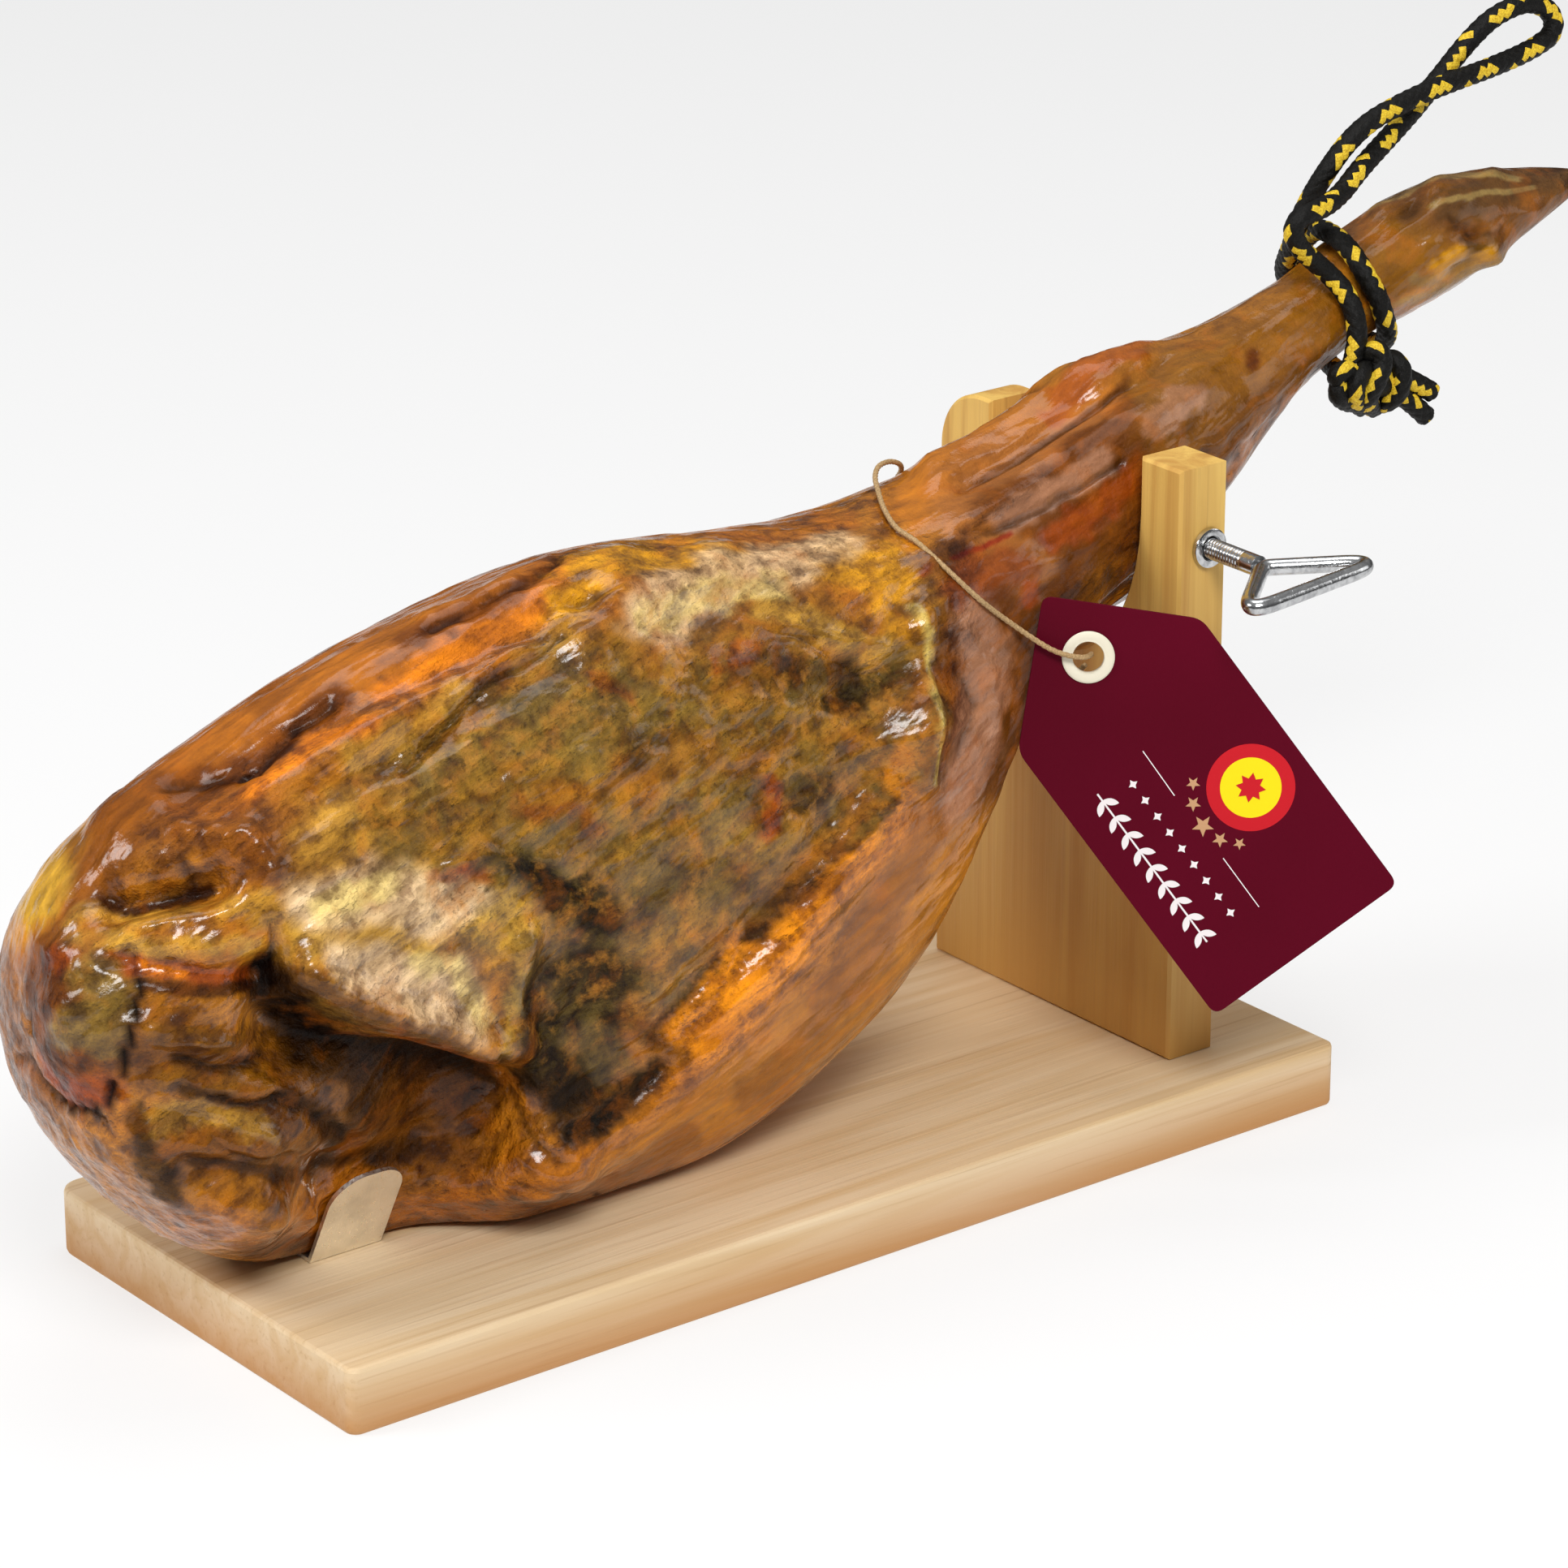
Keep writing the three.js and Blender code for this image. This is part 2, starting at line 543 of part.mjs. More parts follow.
function hamSkin() {
  const last = HAM_SECTIONS.length - 1;
  const angles = ringAngles();
  const positions = [];
  const small = 1e-3;
  positions.push(...hamPoint(0, 0).toArray());
  for (let ring = 1; ring < HAM_RINGS; ring++) {
    const station = (last * ring) / HAM_RINGS;
    for (const angle of angles) {
      const point = hamPoint(station, angle);
      const along = hamPoint(station + small, angle).sub(point);
      const around = hamPoint(station, angle + small).sub(point);
      const normal = around.cross(along).normalize();
      point.addScaledVector(normal, reliefAt(point, normal));
      positions.push(...point.toArray());
    }
  }
  positions.push(...hamPoint(last, 0).toArray());
  return { positions, count: angles.length };
}

function ham() {
  const { positions, count } = hamSkin();
  const index = [];
  const at = (ring, k) => 1 + (ring - 1) * count + (k % count);
  const tip = positions.length / 3 - 1;
  for (let k = 0; k < count; k++) {
    index.push(0, at(1, k + 1), at(1, k));
    for (let ring = 1; ring < HAM_RINGS - 1; ring++) {
      index.push(at(ring, k), at(ring, k + 1), at(ring + 1, k + 1));
      index.push(at(ring, k), at(ring + 1, k + 1), at(ring + 1, k));
    }
    index.push(at(HAM_RINGS - 1, k), at(HAM_RINGS - 1, k + 1), tip);
  }
  const skin = new THREE.BufferGeometry();
  skin.setAttribute("position", new THREE.Float32BufferAttribute(positions, 3));
  skin.setIndex(index);
  const solid = toSolid(skin).subtract(toSolid(uprightBlank(GAP))).subtract(bracket(GAP));
  return toGeometry(solid);
}

// The tag's own plane: x across, y up from the point, both in the card
function tagMatrix() {
  const t = TAG;
  const matrix = new THREE.Matrix4().makeTranslation(...t.apex);
  matrix.multiply(new THREE.Matrix4().makeRotationZ(rad(t.facing)));
  matrix.multiply(new THREE.Matrix4().makeRotationX(rad(90 - t.lean)));
  matrix.multiply(new THREE.Matrix4().makeRotationZ(rad(t.turn)));
  return matrix;
}

function tagShape() {
  const { width, length, corner } = TAG;
  const outline = [[0, 0], [-width / 2, -width / 2], [-width / 2, -length], [width / 2, -length],
    [width / 2, -width / 2]];
  const shape = new THREE.Shape();
  outline.forEach((at, i) => {
    const before = outline[(i + outline.length - 1) % outline.length];
    const after = outline[(i + 1) % outline.length];
    const step = (to) => {
      const reach = Math.hypot(to[0] - at[0], to[1] - at[1]);
      return [at[0] + ((to[0] - at[0]) * corner) / reach, at[1] + ((to[1] - at[1]) * corner) / reach];
    };
    const [start, end] = [step(before), step(after)];
    if (i === 0) shape.moveTo(...start);
    else shape.lineTo(...start);
    shape.quadraticCurveTo(...at, ...end);
  });
  const hole = new THREE.Path();
  hole.absarc(0, -EYELET.down, TAG.holeRadius, 0, 2 * Math.PI, true);
  shape.holes.push(hole);
  return shape;
}

function tag() {
  const geometry = new THREE.ExtrudeGeometry(tagShape(), {
    depth: TAG.thick, bevelEnabled: false, curveSegments: 5,
  });
  geometry.translate(0, 0, -TAG.thick / 2);
  return geometry.applyMatrix4(tagMatrix());
}

function eyelet() {
  const e = EYELET;
  const half = TAG.thick / 2 + GAP;
  const outside = half + e.flange;
  const barrel = e.inner + e.wall;
  const side = [[e.inner, outside - e.lip], [e.inner + e.lip, outside], [e.outer - e.rim, outside],
    [e.outer, half + e.step], [e.outer - e.step, half], [barrel, half]];
  const mirrored = side.map(([radius, y]) => [radius, -y]);
  const profile = [...mirrored, ...side.reverse(), mirrored[0]];
  const geometry = turned(profile, TURNED_SIDES, 0, 0);
  geometry.rotateX(Math.PI / 2);
  geometry.translate(0, -e.down, 0);
  return geometry.applyMatrix4(tagMatrix());
}

const cord = (readings, radius, steps) => tube(readings.map(fromChart), radius, CORD_SIDES, steps);

function knot() {
  const centres = KNOT_BENDS.flat().map((reading) => vec(fromChart(reading)));
  let solid = toSolid(new ConvexGeometry(centres));
  for (const bend of KNOT_BENDS) solid = solid.add(toSolid(cord(bend, ROPE_RADIUS, BEND_STEPS)));
  for (const tail of KNOT_TAILS) solid = solid.add(toSolid(cord(tail, ROPE_RADIUS, TAIL_STEPS)));
  const socket = cord(ROPE_ROUTE, ROPE_RADIUS + GAP + KNOT_SLACK, ROPE_STEPS);
  return toGeometry(solid.subtract(toSolid(socket)));
}

const group = new THREE.Group();
group.add(piece("base_board", board(), LOOK.wood));
group.add(piece("upright", upright(), LOOK.wood));
group.add(piece("ham_bracket", toGeometry(bracket(0)), LOOK.steel));
group.add(piece("clamp_insert", insert(), LOOK.chrome));
group.add(piece("clamp_shank", shank(), LOOK.chrome));
group.add(piece("clamp_handle", handle(), LOOK.chrome));
group.add(piece("ham", ham(), LOOK.meat));
group.add(piece("tag", tag(), LOOK.card));
group.add(piece("tag_eyelet", eyelet(), LOOK.eyelet));
group.add(piece("tag_string", tube(STRING_ROUTE, STRING_RADIUS, CORD_SIDES, STRING_STEPS), LOOK.string));
group.add(piece("rope", cord(ROPE_ROUTE, ROPE_RADIUS, ROPE_STEPS), LOOK.rope));
group.add(piece("rope_knot", knot(), LOOK.rope));

export default group;
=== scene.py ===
# A cured ham on its wooden holder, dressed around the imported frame. Lengths are in metres
# unless a name says mm; a place called px is a point of the photograph's 1932 square.
import math

import bpy
import numpy as np
from mathutils import Matrix, Vector


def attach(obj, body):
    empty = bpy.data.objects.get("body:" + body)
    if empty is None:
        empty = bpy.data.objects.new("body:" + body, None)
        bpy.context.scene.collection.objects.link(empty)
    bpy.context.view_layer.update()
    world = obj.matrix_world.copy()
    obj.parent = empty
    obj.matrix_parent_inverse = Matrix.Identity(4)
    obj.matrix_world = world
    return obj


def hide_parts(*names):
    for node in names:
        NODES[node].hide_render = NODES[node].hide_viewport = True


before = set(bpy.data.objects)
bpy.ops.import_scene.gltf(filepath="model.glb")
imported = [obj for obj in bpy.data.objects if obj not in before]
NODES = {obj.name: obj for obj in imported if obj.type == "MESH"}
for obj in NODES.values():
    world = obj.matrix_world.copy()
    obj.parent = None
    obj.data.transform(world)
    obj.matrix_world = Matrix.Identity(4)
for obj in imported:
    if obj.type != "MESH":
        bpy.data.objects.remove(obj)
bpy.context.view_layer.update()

MM = 0.001

# The photograph's view, worked out from the board and the upright
AZIMUTH = math.radians(-37.93)
ELEVATION = math.radians(21.14)
AIM_MM = np.array([33.63, 0.0, 146.69])
DISTANCE_MM = 2208.25
FOCAL_PX = 7455.46
PHOTO_PX = 1932
SENSOR_MM = 36.0

TO_VIEWER = np.array([
    math.sin(AZIMUTH) * math.cos(ELEVATION),
    -math.cos(AZIMUTH) * math.cos(ELEVATION),
    math.sin(ELEVATION),
])
ACROSS = np.array([math.cos(AZIMUTH), math.sin(AZIMUTH), 0.0])
UPWARD = np.cross(TO_VIEWER, ACROSS)
VIEW_POINT_MM = AIM_MM + TO_VIEWER * DISTANCE_MM
PX_PER_MM = 3.35

# The stand, as built
GAP_MM = 0.3
BOARD_TOP_MM = 25.0
UPRIGHT_MM = {
    "x": 162.9, "thickness": 22.8, "notch_centre": -3.1, "notch_half": 42.6,
    "straight_to": 236.0, "notch_depth": 63.0,
}
SCREW_MM = {
    "x": 176.5, "z": 226.5, "face": -68.8, "flange": 7.6, "flange_thick": 2.0, "bore": 4.4,
    "body": 6.0, "inner_end": -48.5, "radius": 4.0, "thread": 0.42, "pitch": 1.5, "plain": 6.0,
    "tip": -46.6, "end": -96.2, "loop": -98.0, "turn": 4.8, "wire": 3.1,
}
LOOP_CORNERS_MM = [(0, 0), (-34, -28), (34, -28)]
LOOP_BENDS_MM = [4, 16, 16]
TAG_MM = {
    "width": 82.0, "length": 163.0, "thick": 1.2, "corner": 4.0, "hole": 6.9,
    "apex": (109.4, -54.9, 218.3), "lean": 10.0, "facing": -37.93, "turn": 36.6,
}
EYELET_MM = {"outer": 9.6, "inner": 5.7, "wall": 0.8, "flange": 1.0, "down": 27.8}
ROPE_RADIUS_MM = 4.0
STRING_RADIUS_MM = 1.0
BRACKET_X_MM = -174.0
BRACKET_LEAN = math.radians(27)
# The wings leave the bracket's flat foot this far from its middle and this high up
WING_FOOT_MM = 15.0
WING_FOOT_Z_MM = 27

# Read off the photograph: px across, px down, and the depth Y in mm at that place
ROPE_ROUTE = [
    (1667, 446, -28), (1672, 416, -27.5), (1668, 385, -25), (1655, 358, -20), (1636, 337, -15),
    (1618, 321, -14), (1605, 309, -15), (1597, 298, -15.5), (1594, 286, -16), (1597, 275, -16.5),
    (1605, 267, -17), (1617, 262, -17), (1636, 252, -15), (1655, 235, -11), (1669, 217, -9),
    (1684, 199, -6), (1714, 166, -1), (1744, 132, 4), (1760, 112, 6), (1778, 90, 6), (1796, 67, 6),
    (1815, 45, 5), (1836, 25, 4), (1859, 11, 3), (1880, 4, 2), (1896, 6, 1.3), (1909, 15, 0.5),
    (1914, 29, -0.3), (1910, 43, -1), (1897, 54, -2), (1876, 66, -2), (1834, 84, -3),
    (1791, 100, -4), (1747, 118, -4), (1701, 142, -3), (1680, 157, -3), (1659, 178, -2),
    (1641, 202, -2), (1624, 228, 0), (1609, 255, 3), (1599, 278, 6), (1593, 299, 11),
    (1587, 315, 17.6), (1583, 331, 23.8), (1588, 350, 26.5), (1603, 370, 24.5), (1625, 390, 19),
    (1651, 405, 11), (1675, 416, 2), (1692, 422, -7), (1704, 420, -16), (1709, 408, -23),
    (1705, 389, -25.5), (1697, 365, -24.5), (1683, 340, -20), (1668, 315, -13), (1651, 296, -4),
    (1634, 285, 5), (1622, 284, 13), (1610, 293, 21), (1599, 310, 28), (1592, 333, 32),
    (1591, 361, 33.6), (1598, 390, 29), (1610, 416, 22), (1623, 433, 13), (1636, 446, 4),
    (1647, 457, -5), (1651, 462, -11),
]
# The knot: short bends of the same rope, lying over each other, and two cut tails
KNOT_BENDS = [
    [(1682, 462, -25), (1668, 461, -31), (1655, 457, -32), (1648, 464, -31), (1662, 474, -27)],
    [(1664, 470, -25), (1651, 474, -30), (1649, 485, -31), (1658, 494, -29), (1673, 495, -25)],
    [(1692, 452, -28), (1678, 460, -34), (1670, 476, -35), (1670, 491, -32), (1677, 501, -26)],
    [(1688, 450, -26), (1688, 435, -31), (1698, 432, -34), (1703, 448, -36), (1697, 467, -37),
     (1688, 484, -35), (1686, 496, -30), (1692, 502, -24)],
    [(1702, 446, -25), (1715, 443, -30), (1725, 452, -33), (1727, 468, -34), (1722, 484, -33),
     (1711, 494, -30), (1700, 497, -24)],
]
KNOT_CORE_RADIUS_MM = 6.5
KNOT_CORE = [(1664, 470, -26), (1688, 468, -28), (1710, 470, -27)]
KNOT_TAILS = [
    [(1722, 461, -27), (1739, 469, -28.5), (1752, 476, -29), (1764, 483, -29.5)],
    [(1714, 480, -26), (1730, 490, -27.5), (1744, 501, -28.5), (1757, 513, -29)],
]
STRING_ROUTE_MM = [
    (123.6, -65.8, 195.9), (120, -68.4, 196.6), (116, -69.7, 197.4), (111.6, -67.4, 198.4),
    (107.2, -62.6, 200.4), (95.2, -53.2, 210.8), (81.6, -52, 222.4), (72.4, -40, 235.4),
    (70.2, -30.4, 240.6), (68, -22, 243.9), (71.2, -11, 247.2), (76.4, -1, 250),
    (82, 8, 252.6), (88.4, 14, 253.8), (96.4, 18, 253), (104, 21.6, 249.8),
    (110, 27.6, 244.4), (114.2, 38.6, 233.6), (116.6, 46.2, 215.4), (115, 49.4, 195.8),
    (111.4, 47, 170.6), (105.2, 40.8, 147.2), (100.8, 30, 133), (104.4, 11.8, 131.8),
    (106.6, -11, 134.2), (109.6, -27.6, 141.8), (116.2, -37.4, 159), (121.4, -46, 173.6),
    (124.4, -55.4, 184.4), (125, -61, 190),
]

# Sections of the ham from the butt to the foot: top x, z; bottom x, z; half width to the
# front and to the back; squareness of the section
HAM_SECTIONS_MM = [
    (-284, 135, -284, 135, 0, 0, 2.0),
    (-278, 168, -282, 101, 31, 31, 2.1),
    (-262, 188, -263, 70, 47, 46, 2.2),
    (-237, 203, -239, 45, 57, 55, 2.2),
    (-206, 216, -207, 28, 62, 60, 2.3),
    (-165, 232, -167, 20, 66, 62, 2.3),
    (-120, 243, -120, 16, 69, 63, 2.4),
    (-70, 251, -74, 16, 70, 63, 2.5),
    (-15, 249, -27, 20, 70, 62, 2.5),
    (40, 244, 16, 36, 67, 59, 2.4),
    (85, 247, 56, 60, 61, 55, 2.3),
    (118, 254, 80, 93, 54, 50, 2.2),
    (140, 260, 104, 136, 48, 44, 2.1),
    (158, 266, 146, 177, 44, 38, 2.1),
    (178, 276, 187, 191, 41, 35, 2.1),
    (205, 279, 220, 213, 36, 32, 2.0),
    (232, 280, 249, 236, 28, 28, 2.0),
    (258, 286, 274, 253, 22.5, 22.5, 2.0),
    (284, 294, 301, 265, 20.5, 20.5, 2.0),
    (312, 307, 329, 271, 22, 22, 2.0),
    (342, 316, 354, 278, 23, 22, 2.0),
    (372, 318, 380, 288, 20, 19, 2.0),
    (402, 316, 402, 296, 14, 13, 2.0),
    (425, 312, 422, 304, 8, 8, 2.0),
    (438, 308, 438, 308, 0, 0, 2.0),
]
HAM_RINGS = 330
HAM_FRONT_STEPS = 196
HAM_BACK_STEPS = 76

# Relief of the shown side: height in mm (below zero it goes in), half width in mm, px route.
# The first ones are the forms of the solid; the rest are finer folds and creases.
FORMS = [
    (5, 12, [(150, 1015), (330, 895), (500, 808), (660, 738), (760, 705)]),
    (-5, 7, [(230, 985), (380, 900), (560, 815), (720, 745)]),
    (4, 9, [(330, 985), (480, 890), (640, 805), (790, 735), (880, 700)]),
    (-4, 7, [(400, 975), (560, 880), (690, 800)]),
    (7, 12, [(640, 1425), (760, 1400), (850, 1310), (930, 1215), (1010, 1110), (1080, 1000),
             (1132, 890)]),
    (-5, 7, [(700, 1385), (790, 1340), (860, 1240), (930, 1160), (1010, 1060), (1085, 950)]),
    (13, 10, [(365, 1205), (430, 1243), (520, 1270), (612, 1303)]),
    (-22, 17, [(365, 1275), (440, 1315), (520, 1345), (590, 1372)]),
    (-12, 8, [(140, 1112), (200, 1100), (265, 1090)]),
    (-5, 6, [(150, 1185), (250, 1200), (330, 1205)]),
    (4, 6, [(180, 1268), (250, 1290), (330, 1290)]),
    (4, 6, [(195, 1335), (270, 1355), (345, 1350)]),
    (4, 6, [(190, 1395), (260, 1418), (330, 1420)]),
    (6, 12, [(150, 1400), (250, 1478), (380, 1500), (560, 1480), (700, 1455)]),
    (-5, 6, [(230, 1432), (330, 1448), (420, 1440), (520, 1420)]),
    (5, 6, [(655, 1165), (640, 1230), (655, 1300)]),
    (3.5, 6, [(1142, 700), (1140, 830), (1132, 960)]),
    (-4, 8, [(1040, 850), (1085, 835), (1120, 815)]),
    (5, 8, [(1150, 575), (1230, 520), (1320, 462), (1400, 432)]),
    (-4, 7, [(1190, 590), (1320, 505), (1420, 455)]),
    (3, 10, [(1180, 650), (1330, 565), (1480, 475)]),
]
FOLDS = [
    (-2.6, 1.7, [(300, 962), (367, 897), (410, 872)]),
    (-2.4, 1.5, [(532, 788), (575, 771), (636, 732), (690, 700)]),
    (1.8, 2.6, [(525, 775), (570, 758), (640, 718)]),
    (-2.6, 1.6, [(505, 948), (540, 901), (566, 871), (597, 840), (649, 810), (700, 775)]),
    (1.8, 2.6, [(500, 925), (545, 880), (590, 830), (650, 795)]),
    (-1.6, 1.4, [(560, 850), (620, 800), (700, 745), (770, 715)]),
    (1.5, 2.2, [(600, 812), (680, 762), (760, 728)]),
    (-1.8, 1.5, [(205, 978), (262, 962), (315, 955)]),
    (-1.6, 0.9, [(125, 1008), (150, 985), (166, 963)]),
    (-1.2, 0.8, [(222, 1035), (228, 1060), (240, 1080)]),
    (2.4, 4, [(225, 1025), (300, 1035), (340, 1075)]),
    (-2.2, 1.8, [(120, 1100), (160, 1090), (220, 1085)]),
    (2.2, 3.5, [(160, 1135), (230, 1125), (290, 1115)]),
    (-3.4, 2, [(330, 1140), (342, 1180), (338, 1230)]),
    (-1.8, 1.3, [(170, 1205), (164, 1260), (150, 1320), (128, 1362)]),
    (2.2, 3, [(60, 1165), (100, 1180), (160, 1205)]),
    (-2.4, 1.6, [(30, 1300), (80, 1360), (130, 1372)]),
    (-2, 2, [(365, 1235), (430, 1270), (520, 1300), (600, 1330)]),
    (1.8, 1.5, [(200, 1285), (260, 1287), (300, 1295)]),
    (-1.8, 1.5, [(215, 1312), (280, 1330), (340, 1322)]),
    (-1.6, 1.5, [(225, 1345), (300, 1368), (350, 1362)]),
    (1.6, 1.8, [(235, 1372), (300, 1390), (350, 1400)]),
    (-2.2, 2.2, [(350, 1360), (400, 1390), (440, 1410)]),
    (-1.6, 1.6, [(260, 1405), (330, 1435), (400, 1432)]),
    (2.2, 4, [(280, 1478), (360, 1488), (430, 1482)]),
    (-2.2, 1.6, [(617, 1300), (612, 1340), (640, 1390), (690, 1420)]),
    (1.8, 2.2, [(640, 1405), (680, 1430), (720, 1432)]),
    (-1.6, 1.4, [(640, 1440), (700, 1460), (760, 1450)]),
    (-2.4, 1.6, [(700, 1395), (745, 1385), (790, 1352), (825, 1318)]),
    (1.8, 1.8, [(830, 1290), (870, 1245), (905, 1205), (925, 1150)]),
    (-1.8, 1.4, [(845, 1285), (880, 1240), (925, 1190), (985, 1125)]),
    (-2, 1.6, [(665, 1070), (700, 1090), (745, 1120)]),
    (1.5, 2.4, [(560, 1065), (600, 1050), (640, 1058)]),
    (-1.4, 1.2, [(945, 705), (965, 725), (985, 745)]),
    (1.6, 2, [(960, 760), (1040, 790), (1095, 800)]),
    (-1.6, 2, [(985, 775), (1040, 810), (1080, 830)]),
    (-1.6, 1.6, [(1140, 720), (1150, 800), (1148, 880), (1150, 960)]),
    (1.6, 1.4, [(1120, 745), (1128, 780), (1136, 840)]),
    (-1.5, 1.5, [(1180, 660), (1245, 650), (1300, 620), (1380, 570)]),
    (-1.2, 1.2, [(1170, 560), (1260, 500), (1360, 440)]),
    (1.2, 1.5, [(1160, 590), (1260, 535), (1350, 480), (1410, 440)]),
    (-1.2, 1.2, [(1180, 605), (1290, 540), (1390, 470)]),
    (1.3, 3, [(1210, 720), (1300, 690), (1380, 640)]),
    (-1.4, 2.2, [(1490, 590), (1560, 530), (1640, 450)]),
    (1.4, 2, [(1470, 560), (1560, 490), (1640, 420)]),
    (-1.4, 1.5, [(1180, 830), (1200, 870), (1180, 930)]),
    (1.3, 1.8, [(1190, 780), (1225, 830), (1230, 900)]),
]
# Rounded swellings and hollows: height, half width across, half width down, turn, place
SPOTS = [
    (-14, 9, 10, 0, 336, 1198),
    (6, 18, 14, 20, 300, 1055),
    (9, 15, 26, 8, 100, 1255),
    (-9, 42, 24, 0, 290, 1335),
    (-7, 24, 36, 15, 730, 1290),
    (4, 26, 30, 0, 470, 1160),
    (-3, 40, 40, 0, 900, 930),
    (4, 22, 12, 40, 1200, 730),
    (4, 20, 9, 30, 1790, 245),
    (3, 9, 8, 0, 1845, 318),
]
BLISTERS = [
    (2.2, 5, 3.5, 30, 1700, 262), (2.4, 6, 3, 20, 1768, 236), (2.2, 4, 2.6, 10, 1838, 222),
    (-2.4, 5, 3, 30, 1735, 262), (2.6, 4.5, 3.5, 40, 1838, 318), (-2.2, 6, 2.4, 35, 1800, 330),
    (-1.8, 4, 3, 0, 1815, 285), (1.6, 3, 2.4, 0, 1760, 300), (1.5, 3, 2, 0, 1880, 262),
    (1.6, 2.2, 2.2, 0, 562, 1176), (1.2, 1.6, 1.6, 0, 575, 1190), (1.4, 1.8, 1.6, 0, 548, 1196),
    (1.2, 2.6, 1.8, 30, 470, 1098), (-1.2, 2.0, 1.4, 0, 735, 1472), (-1.3, 1.6, 2.4, 0, 520, 1448),
    (1.8, 3.5, 2.5, 0, 690, 1060), (1.5, 3, 2, 20, 590, 1062), (-1.6, 4, 3, 0, 990, 1000),
]
# The cut plateau lies a little below the rind around it
PLATEAU = {"depth": 5, "edge": 12, "centre": (770, 1030), "across": 112, "down": 88, "turn": 40}
BACK_FOLDS = [(1.5, 95, 25), (1.1, 58, 75)]

# Colours, as seen in the photograph. The crease, valley, cavity and ink colours are painted shade;
# the moss colour also serves for a painted shadow and the wax colour for a painted highlight.
COLOURS = {
    "skin": "#b47c2c", "rim": "#84500f", "orange": "#b07018", "bright": "#df8a0c",
    "crease_shade": "#3e1c07", "valley_shade": "#6a3a0c", "pale": "#c9a550", "olive": "#93702f",
    "grey": "#8c7646", "umber": "#40270b", "rust": "#9c4a10", "yellow": "#cf9d1c",
    "wax_and_highlight": "#e2d2ac", "pitch": "#0d0a05", "moss_and_shadow": "#241d0b",
    "membrane": "#cdbd92", "fat": "#e39616", "cream": "#dcc6d2", "straw": "#c6a25c",
    "cavity_shade": "#1e0e02", "wall": "#7c4a24", "recess": "#7a4e10", "amber": "#8c6218",
    "ash": "#8e7648", "purple": "#a88084", "red": "#8a4a22", "blood": "#80261a",
    "bruise": "#5a2a12", "shank": "#82591e", "under": "#6b4519", "foot": "#7a5434",
    "tip": "#5e4636", "neck": "#683c12", "peach": "#a87040", "bark": "#6d4a20", "ink": "#15171a",
}
